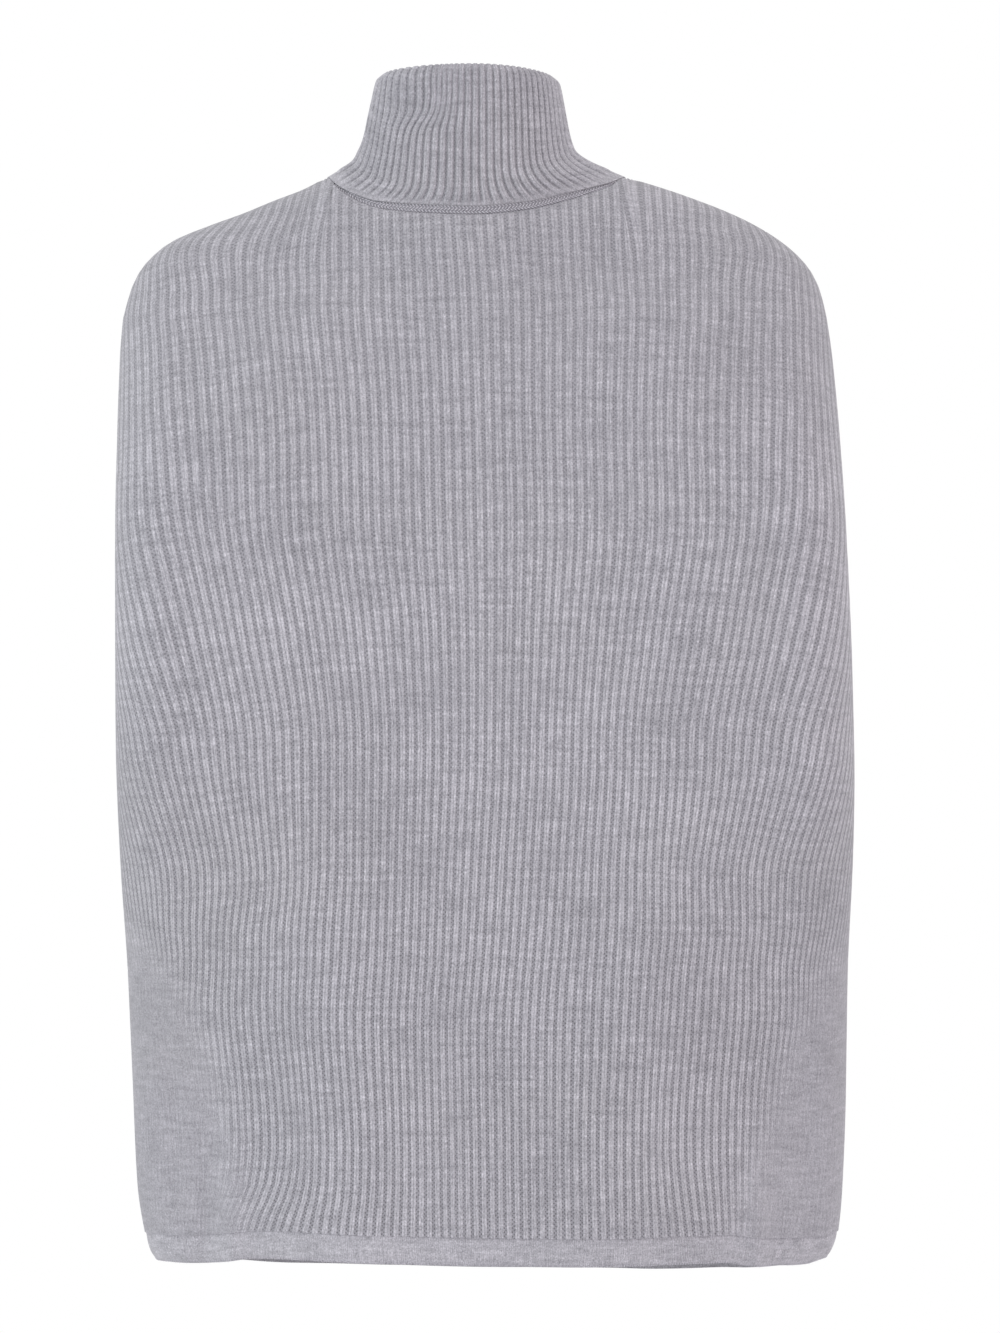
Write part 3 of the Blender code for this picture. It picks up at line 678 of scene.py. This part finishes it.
def neck_directions(x, y):
    """At the neck seam: out from the cloth, and up along it from panel to collar."""
    half = neck_half(x)
    deep = np.where(y < 0, NECK_DEPTH["back"], NECK_DEPTH["front"])
    plan = unit(np.stack([x / half ** 2, y / deep ** 2], axis=-1))
    tilt = np.radians(NECK_TILT + NECK_TILT_MORE * np.minimum(np.abs(x) / half, 1) ** 4)
    cos, sin = np.cos(tilt)[..., None], np.sin(tilt)[..., None]
    return (np.concatenate([plan * cos, sin], axis=-1), np.concatenate([-plan * sin, cos], axis=-1))


def courses_up(grid):
    """Knitted rows below each point, counted along its rib from the hem."""
    step = length(np.diff(grid, axis=0))
    below = np.concatenate([step[::-1].cumsum(axis=0)[::-1], np.zeros((1, grid.shape[1]))])
    return below / COURSE


def openness(pitch, least, closed, run):
    """1 where the ribs lie open, and the least where the cloth gathers and its furrows close."""
    return least + (1 - least) * soft_step((pitch - closed) / run)


def flank_ribs(x, z):
    """1 where the ribs show, fading to a tenth over the flat flanks by the hem."""
    start = np.where(x < 0, column(QUIET_FLANK, "left", z), column(QUIET_FLANK, "right", z))
    return 1 - QUIET_SHARE * soft_step((np.abs(x) - start + QUIET_LEAD) / QUIET_RUN)


def pattern_rows(u, v, ease, lift, outward):
    """One row for each point: u, v, ease, lift and outward x, y, z."""
    return np.concatenate([np.stack(np.broadcast_arrays(u, v, ease, lift), -1), outward],
                          -1).reshape(-1, 7).astype(np.float32)


def add_outward(mesh, outward):
    attribute = mesh.attributes.new("outward", "FLOAT_VECTOR", "POINT")
    attribute.data.foreach_set("vector", np.asarray(outward, np.float32).ravel())


def make_mesh(name, points, faces, patterns, material):
    """A mesh in metres that carries its pattern rows as a UV map and attributes."""
    mesh = bpy.data.meshes.new(name)
    mesh.from_pydata((points * MM).tolist(), [], faces)
    corners = np.zeros(len(mesh.loops), int)
    mesh.loops.foreach_get("vertex_index", corners)
    mesh.uv_layers.new(name="knit").data.foreach_set("uv", patterns[corners, :2].ravel())
    for key, column_at in (("rib", 0), ("ease", 2), ("lift", 3)):
        attribute = mesh.attributes.new(key, "FLOAT", "POINT")
        attribute.data.foreach_set("value", patterns[:, column_at].copy())
    add_outward(mesh, patterns[:, 4:])
    mesh.materials.append(material)
    mesh.polygons.foreach_set("use_smooth", [True] * len(mesh.polygons))
    mesh.update()
    mesh.set_sharp_from_angle(angle=SHARP_RIM)
    return put(name, mesh)


def wall_faces(rows, fine, coarse, rate):
    """Faces of a closed wall: an outer grid, an inner one with rate columns to one, and a rim."""
    def o(r, c):
        return r * fine + c

    def i(r, g):
        return rows * fine + r * coarse + g

    faces = [(o(r, c), o(r, c + 1), o(r + 1, c + 1), o(r + 1, c))
             for r in range(rows - 1) for c in range(fine - 1)]
    faces += [(i(r, g + 1), i(r, g), i(r + 1, g), i(r + 1, g + 1))
              for r in range(rows - 1) for g in range(coarse - 1)]
    for r in range(rows - 1):
        faces.append((o(r, 0), o(r + 1, 0), i(r + 1, 0), i(r, 0)))
        faces.append((o(r + 1, fine - 1), o(r, fine - 1), i(r, coarse - 1), i(r + 1, coarse - 1)))
    for r, flip in ((0, 1), (rows - 1, -1)):
        for g in range(coarse - 1):
            run = [o(r, g * rate + k) for k in range(rate + 1)]
            half = rate // 2
            fan = [(run[k + 1], run[k], i(r, g) if k < half else i(r, g + 1)) for k in range(rate)]
            faces += [f[::flip] for f in fan + [(run[half], i(r, g), i(r, g + 1))]]
    return faces


def outward_faces(points, faces):
    """The same faces, turned over together if they enclose a negative volume."""
    corners = np.array([f[:3] for f in faces] + [(f[0], f[2], f[3]) for f in faces if len(f) > 3])
    a, b, c = (points[corners[:, k]] for k in range(3))
    return faces if np.einsum("ij,ij->", a, np.cross(b, c)) > 0 else [f[::-1] for f in faces]


def close_wall(face, kind, outer, inner, patterns, material):
    """Lay both sides in the seam's plane and close the wall between an outer and an inner grid."""
    for grid in (outer, inner):
        grid[:, [0, -1], 1] = FACING[face] * BAND_GAP / 2
    fine, coarse = outer.shape[1], inner.shape[1]
    points = np.concatenate([outer.reshape(-1, 3), inner.reshape(-1, 3)])
    faces = wall_faces(len(outer), fine, coarse, (fine - 1) // (coarse - 1))
    return make_mesh(face + kind, points, outward_faces(points, faces), np.concatenate(patterns),
                     material)


def make_panel(face):
    ref = SURFACES[face]
    out = surface_normals(ref, face)
    neck = np.abs(COLUMNS) <= NECK_RIBS
    shift = np.zeros_like(ref)
    neck_out, neck_along = neck_directions(ref[0, neck, 0], ref[0, neck, 1])
    out[0, neck] = neck_out
    shift[0, neck] = -neck_along * BAND_GAP / 2
    for shoulder in (COLUMNS < -NECK_RIBS, COLUMNS > NECK_RIBS):
        out[0, shoulder] = seam_outward(ref[0, shoulder])
    out[:, 0], out[:, -1] = seam_outward(ref[:, 0]), seam_outward(ref[:, -1])
    out[-1, :, 2] = 0
    out = unit(out)
    rate = len(RIB_PARTS)       # outer points to one inner point
    outer = ref + shift
    inner = (ref - out * WALL_INSIDE + shift * 4)[:, ::rate]
    on_shoulder = np.abs(COLUMNS) >= NECK_RIBS
    for grid, shoulder in ((outer, on_shoulder), (inner, on_shoulder[::rate])):
        grid[0, shoulder, 1] = FACING[face] * BAND_GAP / 2
    pitch = length(np.gradient(ref, axis=1)) / np.gradient(COLUMNS)
    # Low ease closes the furrows and also lets the painted closed-furrow shade darken the cloth, on
    # the flanks, at the seams and in the neck strip.
    ease = openness(pitch, *PANEL_OPENING) * flank_ribs(ref[..., 0], ref[..., 2])
    ease[:, [0, 1, -2, -1]] = 0
    up = courses_up(ref)
    lift = np.where(neck, soft_step(((up[:1] - up) * COURSE - NECK_STRIP) / 3), 1.0)

    def pattern(step, share):
        return pattern_rows(*(a[..., ::step] for a in (COLUMNS, up, ease * lift, lift * share)),
                            out[:, ::step])

    return close_wall(face, "_rib_knit", outer, inner, [pattern(1, 1.0), pattern(rate, 0.0)],
                      RIBBED)


PANELS = {face: make_panel(face) for face in FACING}
print("panel faces:", {face: len(panel.data.polygons) for face, panel in PANELS.items()})

# %% [markdown]
# ## Raising the ribs with Geometry Nodes
# A rib is the same small wave for every stitch, so it is a rule, and a rule is what Geometry
# Nodes are for. The tree reads the rib number at each point, turns it into a distance from the
# ridge, and pushes the point outward along its own direction. The sizes are named inputs.
# %%


def start_tree(name, **inputs):
    """A node tree with the named inputs, and what they hand in."""
    tree = bpy.data.node_groups.new(name, "GeometryNodeTree")
    for title, kind in inputs.items():
        tree.interface.new_socket(title.replace("_", " "), in_out="INPUT",
                                  socket_type="NodeSocket" + kind)
    tree.interface.new_socket("Knit", in_out="OUTPUT", socket_type="NodeSocketGeometry")
    return Graph(tree), tree.nodes.new("NodeGroupInput").outputs


def end_tree(g, shape, yarn):
    """Make every copy real, give it its yarn and hand it out."""
    whole = g.add("GeometryNodeRealizeInstances", {0: shape}).outputs[0]
    done = g.add("GeometryNodeSetMaterial", {"Geometry": whole, "Material": yarn}).outputs[0]
    g.tree.links.new(done, g.tree.nodes.new("NodeGroupOutput").inputs[0])
    return g.tree


def rib_tree():
    g, given = start_tree("raise_ribs", Cloth="Geometry", Ridge_height="Float",
                          Furrow_height="Float", Closed_furrow_height="Float",
                          Furrow_edge="Float", Ridge_edge="Float", Yarn="Material")
    phase = g.calc("FRACT", g.calc("ADD", g.named("rib"), 1000.0))
    off = g.times(g.calc("ABSOLUTE", g.calc("SUBTRACT", phase, 0.5)), 2.0)
    ridge = g.ramp(off, given["Ridge edge"], given["Furrow edge"], 1.0, 0.0)
    furrow = g.blend(g.named("ease"), given["Closed furrow height"], given["Furrow height"])
    height = g.blend(ridge, furrow, given["Ridge height"])
    height = g.times(height, g.named("lift"))
    offset = g.add("ShaderNodeVectorMath", {0: g.named("outward", "FLOAT_VECTOR"),
                                            "Scale": height}, operation="SCALE").outputs[0]
    moved = g.add("GeometryNodeSetPosition", {"Geometry": given["Cloth"], "Offset": offset})
    return end_tree(g, moved.outputs[0], given["Yarn"])


def apply_tree(piece, tree, values):
    """Run a node tree on a piece and keep the result as its plain mesh."""
    modifier = piece.modifiers.new(tree.name, "NODES")
    modifier.node_group = tree
    for item in tree.interface.items_tree:
        if item.in_out == "INPUT" and item.name in values:
            modifier[item.identifier] = values[item.name]
    bpy.context.view_layer.update()
    view = bpy.context.evaluated_depsgraph_get()
    plain = bpy.data.meshes.new_from_object(
        piece.evaluated_get(view), preserve_all_data_layers=True, depsgraph=view)
    piece.modifiers.clear()
    piece.data = plain
    plain.set_sharp_from_angle(angle=SHARP_RIM)
    return piece


RAISE_RIBS = rib_tree()
RIB_SIZES = {"Ridge height": RIB_PEAK * MM, "Furrow height": RIB_VALLEY * MM,
             "Closed furrow height": 0.70 * MM, "Ridge edge": 0.40, "Furrow edge": 0.80,
             "Yarn": RIBBED}
for panel in PANELS.values():
    apply_tree(panel, RAISE_RIBS, RIB_SIZES)
print("ribs raised on:", [panel.name for panel in PANELS.values()])

# %% [markdown]
# ## The turtleneck collar
# The collar is one rib tube, linked to the neck edge and folded over to the outside. We sweep its
# section round the neck: up the outer layer from the free edge, over the fold, down the inside to
# the neck seam, and back up between the layers. A shallow dent at the wearer's left, where the
# tube has been pushed down, makes the ribs there lean.
# %%
DENT = {"turn": -0.62, "turn_width": 0.36, "share": 0.62, "share_width": 0.15, "depth": 3.4,
        "twist": 0.15}
COLLAR_OPENING = (0.25, 3.4, 2.2)
OUTER_SHARES = (0.12, 0.21, 0.30, 0.42, 0.54, 0.66, 0.78, 0.88, 0.95, 1.0)
OUTER_ROWS, INNER_ROWS, MIDDLE_ROWS, BEHIND_ROWS = 62, 26, 6, 8
TIP_IN, TIP_DROP = 1.9, 2.2     # how far the free edge turns in and down at the shoulders


def spread_turn(numbers, evenness):
    """Angle of each rib, from the wearer's right round the back and on round the front."""
    half_way = numbers / (COLLAR_RIBS / 2)
    place = 1 - 2 * (half_way % 1)
    place = evenness * place + (1 - evenness) * np.sin(place * math.pi / 2)
    bent = np.arcsin(SPREAD_REACH * place) / math.asin(SPREAD_REACH) * math.pi / 2
    return bent - math.pi * (half_way >= 1)


def collar_ring(share, turn):
    sin, cos = np.sin(turn), np.cos(turn)
    half = np.where(sin < 0, column(COLLAR, "left", share), column(COLLAR, "right", share))
    deep = np.where(cos > 0, column(COLLAR, "back", share), column(COLLAR, "front", share))
    end = np.where(cos > 0, COLLAR_TOP["back"], COLLAR_TOP["front"])
    beside = np.where(sin < 0, COLLAR_TOP["left"], COLLAR_TOP["right"])
    top = beside + (end - beside) * cos ** 2
    return np.stack([half * sin, -deep * cos, top], axis=-1)


def neck_seam(parts):
    """Points round the neck seam at the given shares of each half, from the wearer's right."""
    halves = []
    neck = np.abs(COLUMNS) <= NECK_RIBS
    for face, step in (("back", -1), ("front", 1)):
        line = SURFACES[face][0, neck][::step]
        run = np.append(0, length(np.diff(line, axis=0)).cumsum())
        halves.append(np.stack([np.interp(parts * run[-1], run, line[:, k]) for k in range(3)], -1))
    return np.concatenate(halves)


def smooth_rows(keys, count):
    """Rows between key rows, on smooth lines through them."""
    keys = np.asarray(keys)
    step = length(np.diff(keys, axis=0)).mean(axis=-1)
    at = np.append(0, step.cumsum())
    slope = np.gradient(keys, at, axis=0)
    where = np.interp(np.linspace(0, len(keys) - 1, count), np.arange(len(keys)), at)
    i = np.clip(np.searchsorted(at, where) - 1, 0, len(keys) - 2)
    h = (at[i + 1] - at[i])[:, None, None]
    t = ((where - at[i]) / (at[i + 1] - at[i]))[:, None, None]
    return smooth_join(keys[i], h * slope[i], keys[i + 1], h * slope[i + 1], t)


def tube_faces(rings, count, close=False):
    """Faces between rings of count points each; close joins the last ring to the first."""
    faces = []
    for r in range(rings if close else rings - 1):
        low, high = r * count, (r + 1) % rings * count
        faces += [(low + c, low + (c + 1) % count, high + (c + 1) % count, high + c)
                  for c in range(count)]
    return faces


def collar_seam(numbers, edge_turn):
    """The neck seam, spaced so that each rib rises straight from it."""
    first = numbers < COLLAR_RIBS / 2
    seam = neck_seam(numbers[first] / (COLLAR_RIBS / 2))
    turn = np.arcsin(np.clip(seam[:, 0] / neck_half(seam[:, 0]), -1, 1))
    turn = np.where(first, turn, -math.pi - turn)
    closed = np.append(numbers, COLLAR_RIBS)
    place = np.interp(-edge_turn, -np.append(turn, -1.5 * math.pi), closed)
    return np.stack([np.interp(place, closed, np.append(line, line[0])) for line in seam.T], -1)


def collar_layers(numbers):
    """Rings of points along the tube: outer layer, fold and inside, base, middle and behind."""
    edge_turn = spread_turn(numbers, COLLAR_SPREAD["edge"])
    top_turn = spread_turn(numbers, COLLAR_SPREAD["top"])
    seam = collar_seam(numbers, edge_turn)
    out, along = neck_directions(seam[:, 0], seam[:, 1])
    beside = (np.sin(edge_turn) ** 4)[:, None]      # 1 at the shoulders, 0 at back and front
    hang = COLLAR_HANG["end"] + (COLLAR_HANG["side"] - COLLAR_HANG["end"]) * beside
    free = seam + out * COLLAR_STAND + along * hang
    tip = free - beside * (out * TIP_IN + along * TIP_DROP)

    def ring(share):
        turn = edge_turn + (top_turn - edge_turn) * share * (1.6 - 0.6 * share)
        round_by = np.arctan2(np.sin(turn), np.cos(turn)) - DENT["turn"]
        at = np.exp(-(round_by / DENT["turn_width"]) ** 2)
        turn = turn + DENT["twist"] * at * soft_step((share - DENT["share"] + 0.12) / 0.24)
        line = collar_ring(share, turn)
        line[:, 2] = free[:, 2] + (line[:, 2] - free[:, 2]) * share
        sink = DENT["depth"] * at * np.exp(-((share - DENT["share"]) / DENT["share_width"]) ** 2)
        return line - unit(line * [1, 1, 0]) * sink[:, None]

    def under(share, deep):
        """A ring that lies deep below the outer layer."""
        low, high = ring(share - 0.03), ring(min(share + 0.03, 1))
        round_it = np.roll(ring(share), -1, axis=0) - np.roll(ring(share), 1, axis=0)
        return ring(share) - unit(np.cross(high - low, round_it)) * deep

    inside = LAYER * 2 + 0.8
    outer = smooth_rows([tip] + [ring(share) for share in OUTER_SHARES], OUTER_ROWS)
    fold = [ring(1.0), under(0.99, inside * 0.55) + [0, 0, 0.2]]
    fold += [under(share, inside) for share in (0.93, 0.72, 0.5, 0.3, 0.16)]
    fold = smooth_rows(fold + [seam - out * WALL_INSIDE + along * SEAM_LIFT], INNER_ROWS)[1:]
    base = seam + out * 0.2 + along * SEAM_LIFT
    middle = [under(0.16, LAYER + 0.8), under(0.5, LAYER + 0.5), under(0.86, LAYER + 0.3)]
    behind = [under(share, LAYER) for share in (0.80, 0.5, 0.16)]
    behind += [tip - out * (LAYER - beside * 1.0)]
    return (outer, fold, base[None], smooth_rows(middle, MIDDLE_ROWS),
            smooth_rows(behind, BEHIND_ROWS)), out, beside


def make_collar():
    numbers = rib_columns(0, COLLAR_RIBS)
    layers, out, beside = collar_layers(numbers)
    outer, fold, base, middle, _ = layers
    grid = np.concatenate(layers)
    rows, fine = grid.shape[:2]
    round_it = np.roll(grid, -1, axis=1) - np.roll(grid, 1, axis=1)
    outward = unit(np.cross(np.roll(grid, -1, axis=0) - np.roll(grid, 1, axis=0), round_it))
    top, plain = len(outer) - 1, len(outer) + len(fold)
    outward[0] = out
    outward[top] = unit(outward[top] * 0.4 + [0, 0, 1])
    # Ribs rise from the free edge, sink over the fold, and fade out inside it.
    height = np.linspace(0, 1, top + 1)[:, None]
    lift = np.zeros((rows, fine))
    lift[:top + 1] = ((0.25 + 0.75 * soft_step((np.arange(top + 1) / 3)[:, None]))
                      * (1 - 0.55 * soft_step((height - 0.86) / 0.14))
                      * (1 - beside.T * (height < 0.04) * 0.6))
    lift[top + 1:top + 5] = np.array([0.35, 0.25, 0.12, 0.05])[:, None]
    step = length(np.diff(grid, axis=0))
    up = np.concatenate([np.zeros((1, fine)), step.cumsum(axis=0)]) / COURSE
    ease = openness(length(round_it) / (np.gradient(numbers) * 2), *COLLAR_OPENING)
    ease[:4] *= soft_step((np.arange(4) - 0.2) / 2.4)[:, None]
    rib_at = np.tile(numbers, (rows, 1))
    rib_at[plain:], ease[plain:] = 0, 1.0
    points = grid.reshape(-1, 3)
    piece = make_mesh("collar_rib_knit", points,
                      outward_faces(points, tube_faces(rows, fine, close=True)),
                      pattern_rows(rib_at, up, ease, lift, outward), COLLAR_KNIT)
    return piece, {"number": numbers, "line": base[0], "rise": unit(middle[0] - base[0]),
                   "out": out}


collar, COLLAR_BASE = make_collar()
apply_tree(collar, RAISE_RIBS, {**RIB_SIZES, "Closed furrow height": 0.2 * MM, "Ridge edge": 0.52,
                                "Furrow edge": 0.86, "Yarn": COLLAR_KNIT})
print("collar faces:", len(collar.data.polygons))

# %% [markdown]
# ## The hem bands
# Each panel ends in a flat-knit band. It has no ribs to hold it in, so it lies slightly fuller
# than the cloth above and its lower edge rolls a little.
# %%
BAND_ROWS = 12
BAND_SLACK = {"back": 1.8, "front": 0.0}    # how much deeper the edge hangs away from the sides
BAND_BULGE, BAND_ROLL = 0.35, 0.5           # fuller half way down, drawn in at the edge
BAND_WALE, BAND_COURSE = 2.6, 1.9


def level_outward(step, face):
    """Level and square to a step along the cloth, away from the wearer."""
    return -FACING[face] * unit(np.stack([step[..., 1], -step[..., 0], 0 * step[..., 0]], -1))


def make_band(face):
    numbers = COLUMNS[::len(RIB_PARTS)]
    ends = SURFACES[face][-1, ::len(RIB_PARTS)]
    rows = []
    away = off_seam(numbers)
    for drop in np.linspace(0, 1, BAND_ROWS):
        row = []
        for number, (_, _, end), loose in zip(numbers, ends, away):
            side = -1 if number < 0 else 1
            z = end - BAND_GAP - drop * (BAND_HEIGHT + BAND_SLACK[face] * loose)
            share = np.interp(z, HEIGHTS, BAND_SHARES[number])
            x, y = on_section(side, face, np.array(z), np.array(share))
            row.append((x, y, z))
        rows.append(row)
    ref = np.array(rows)
    ref[..., 1] += crease_lift(ref[..., 0], ref[..., 2], face) * away
    ref[..., 1] *= FACING[face]
    out = level_outward(np.gradient(ref, axis=1), face)
    out[:, [0, -1], 1] = 0
    out = unit(out)
    drop = np.linspace(0, 1, BAND_ROWS)[:, None, None]
    swell = BAND_OUTSIDE + BAND_BULGE * np.sin(drop * math.pi)
    swell -= BAND_ROLL * soft_step(drop * 8 - 7)
    outer, inner = ref + out * swell, ref - out * WALL_INSIDE
    run = np.append(0, length(np.diff(ref[0], axis=0)).cumsum()) / BAND_WALE
    up = np.linspace(BAND_HEIGHT, 0, BAND_ROWS)[:, None] / BAND_COURSE
    return close_wall(face, "_plain_band", outer, inner, [pattern_rows(run, up, 1.0, 0.0, out)] * 2,
                      PLAIN)


BAND_SHARES = {number: share_line(number) for number in range(-HALF_RIBS, HALF_RIBS + 1)}
BANDS = {face: make_band(face) for face in FACING}
print("band faces:", {face: len(band.data.polygons) for face, band in BANDS.items()})

# %% [markdown]
# ## Linking stitches with Geometry Nodes
# Panels and collar are joined loop by loop on a linking machine, which leaves a row of small
# slanted stitches over each seam. One stitch is modelled, and a node tree resamples the seam line
# at the stitch spacing and sets a copy on every point, turned along the seam and facing outward.
# %%


def stitch_mesh(name, long, wide, thick):
    """One slanted stitch: a short, bent, tapered strand."""
    sides, rings = 6, 7
    turn = np.arange(sides) * 2 * math.pi / sides
    circle = np.stack([0 * turn, np.cos(turn), np.sin(turn)], -1)
    points = []
    for t in np.linspace(0, 1, rings):
        fat = thick * math.sqrt(max(0.04, math.sin(math.pi * (0.06 + 0.88 * t))))
        bend = thick * (0.9 * math.sin(math.pi * t) - 0.35)
        points += (circle * fat + [(t - 0.5) * long, (t - 0.5) * wide, bend]).tolist()
    faces = tube_faces(rings, sides)
    faces += [tuple(range(sides))[::-1], tuple(range((rings - 1) * sides, rings * sides))]
    mesh = bpy.data.meshes.new(name)
    mesh.from_pydata((np.array(points) * MM).tolist(), [], faces)
    mesh.polygons.foreach_set("use_smooth", [True] * len(mesh.polygons))
    return bpy.data.objects.new(name, mesh)


def stitch_tree():
    g, given = start_tree("link_seam", Seam_line="Geometry", Stitch="Object", Spacing="Float",
                          Unevenness="Float", Seed="Int", Yarn="Material")
    line = g.add("GeometryNodeMeshToCurve", {"Mesh": given["Seam line"]}).outputs[0]
    dots = g.add("GeometryNodeCurveToPoints", {"Curve": line, "Length": given["Spacing"]},
                 mode="LENGTH").outputs
    turn = g.add("FunctionNodeAlignEulerToVector", {"Vector": dots["Tangent"]}, axis="X").outputs[0]
    turn = g.add("FunctionNodeAlignEulerToVector", {
        "Rotation": turn, "Vector": g.named("outward", "FLOAT_VECTOR")},
        axis="Z", pivot_axis="X").outputs[0]
    size = g.add("FunctionNodeRandomValue", {
        2: g.calc("SUBTRACT", 1.0, given["Unevenness"]),
        3: g.calc("ADD", 1.0, given["Unevenness"]), "Seed": given["Seed"]},
        data_type="FLOAT").outputs[1]
    pick = g.add("GeometryNodeObjectInfo", {"Object": given["Stitch"]},
                 transform_space="ORIGINAL").outputs["Geometry"]
    laid = g.add("GeometryNodeInstanceOnPoints", {
        "Points": dots["Points"], "Instance": pick, "Rotation": turn, "Scale": size}).outputs[0]
    return end_tree(g, laid, given["Yarn"])


def seam_line(name, points, outward):
    """A bare line along a seam that remembers which way is out."""
    mesh = bpy.data.meshes.new(name)
    joined = [(k, k + 1) for k in range(len(points) - 1)]
    mesh.from_pydata((np.asarray(points) * MM).tolist(), joined, [])
    add_outward(mesh, outward)
    return put(name, mesh)


LINK_SEAM = stitch_tree()
NECK_STITCH = stitch_mesh("neck_stitch", 2.2, 1.9, 0.48)
NECK_STITCH_BACK = stitch_mesh("neck_stitch_back", 2.2, -1.9, 0.48)
SIDE_STITCH = stitch_mesh("side_stitch", 2.4, 1.3, 0.4)
EDGE_STITCH = stitch_mesh("edge_stitch", 0.4, 2.4, 0.38)
NECK_SPACING, SIDE_SPACING, EDGE_SPACING = 2.4, 2.6, 1.9
NECK_SEED, SIDE_SEED, EDGE_SEED = 11, 31, 51
SEAM_START, SEAM_POINTS = 6, 260        # how far below the neck point the seam's stitches start
ROW_END = 1.2                           # ribs from the shoulder seams at which the neck rows stop
STITCHES = []


def link(name, points, outward, stitch, spacing, seed, node):
    """Lay stitches along a seam. The node argument is kept with them but is not used."""
    values = {"Stitch": stitch, "Spacing": spacing * MM, "Unevenness": 0.12, "Seed": seed,
              "Yarn": LINKING}
    STITCHES.append((apply_tree(seam_line(name, points, outward), LINK_SEAM, values), node))


def neck_rows(face):
    """Facing rows of small slanted stitches over the neck seam, like rows of arrowheads."""
    half = COLLAR_RIBS / 2
    number = COLLAR_BASE["number"] - (0 if face == "back" else half)
    own = (number > ROW_END) & (number < half - ROW_END)
    line, rise, out = (COLLAR_BASE[key][own] for key in ("line", "rise", "out"))
    return [(line + rise * up + out * 0.1, out, stitch) for up, stitch in (
        (-1.0, NECK_STITCH), (0.9, NECK_STITCH_BACK), (2.8, NECK_STITCH), (4.7, NECK_STITCH_BACK))]


for face in FACING:
    for k, row in enumerate(neck_rows(face)):
        link(f"{face}_neck_link_{k}", *row, NECK_SPACING, NECK_SEED + k, face + "_panel")
print("linking rows:", [s.name for s, _ in STITCHES])

# %% [markdown]
# Side and shoulder seams are linked too, with a finer stitch, and a single run of small edge
# stitches finishes the lower edge of each band.
# %%


def seam_path(side):
    """The side and shoulder seam, from the neck point to the hem."""
    shoulder = np.abs(COLUMNS) >= NECK_RIBS
    picked = shoulder & ((COLUMNS < 0) if side < 0 else (COLUMNS > 0))
    top = SURFACES["back"][0, picked]
    top = top[::-1] if side < 0 else top
    down = SURFACES["back"][1:, 0 if side < 0 else -1]
    line = np.concatenate([top, down]) * [1, 0, 1]
    run = np.append(0, length(np.diff(line, axis=0)).cumsum())
    at = np.linspace(SEAM_START, run[-1], SEAM_POINTS)
    line = np.stack([np.interp(at, run, line[:, k]) for k in range(3)], -1)
    return line, seam_outward(line)


for side, name in ((-1, "left"), (1, "right")):
    line, out = seam_path(side)
    link(name + "_seam_link", line + out * 0.75, out, SIDE_STITCH, SIDE_SPACING, SIDE_SEED,
         "back_panel")
for face, band in BANDS.items():
    flat = np.array([v.co[:] for v in band.data.vertices]) / MM
    count = 2 * HALF_RIBS + 1
    edge = flat[(BAND_ROWS - 1) * count:BAND_ROWS * count]
    out = level_outward(np.gradient(edge, axis=0), face)
    lift = edge + [0, 0, 1.0] + out * 0.4
    link(face + "_hem_stitches", lift[1:-1], out[1:-1], EDGE_STITCH, EDGE_SPACING, EDGE_SEED,
         "hem_band_" + face)
print("stitch faces:", sum(len(piece.data.polygons) for piece, _ in STITCHES))

# %% [markdown]
# ## Telling the frame what each piece is
# Every piece rides on the frame's one body and stands for the plain solid that collides in its
# place. The area of each cloth, as worn, is printed.
# %%


def surface_area(piece):
    return sum(p.area for p in piece.data.polygons)


for piece, node, name in [(PANELS["back"], "back_panel", "ribbed_knit"),
                          (PANELS["front"], "front_panel", "ribbed_knit"),
                          (collar, "collar", "ribbed_knit"),
                          (BANDS["back"], "hem_band_back", "plain_knit"),
                          (BANDS["front"], "hem_band_front", "plain_knit")]:
    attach(piece, "root")
    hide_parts(node)
    print(piece.name, "area m2:", round(surface_area(piece), 4))
for piece, node in STITCHES:
    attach(piece, "root")
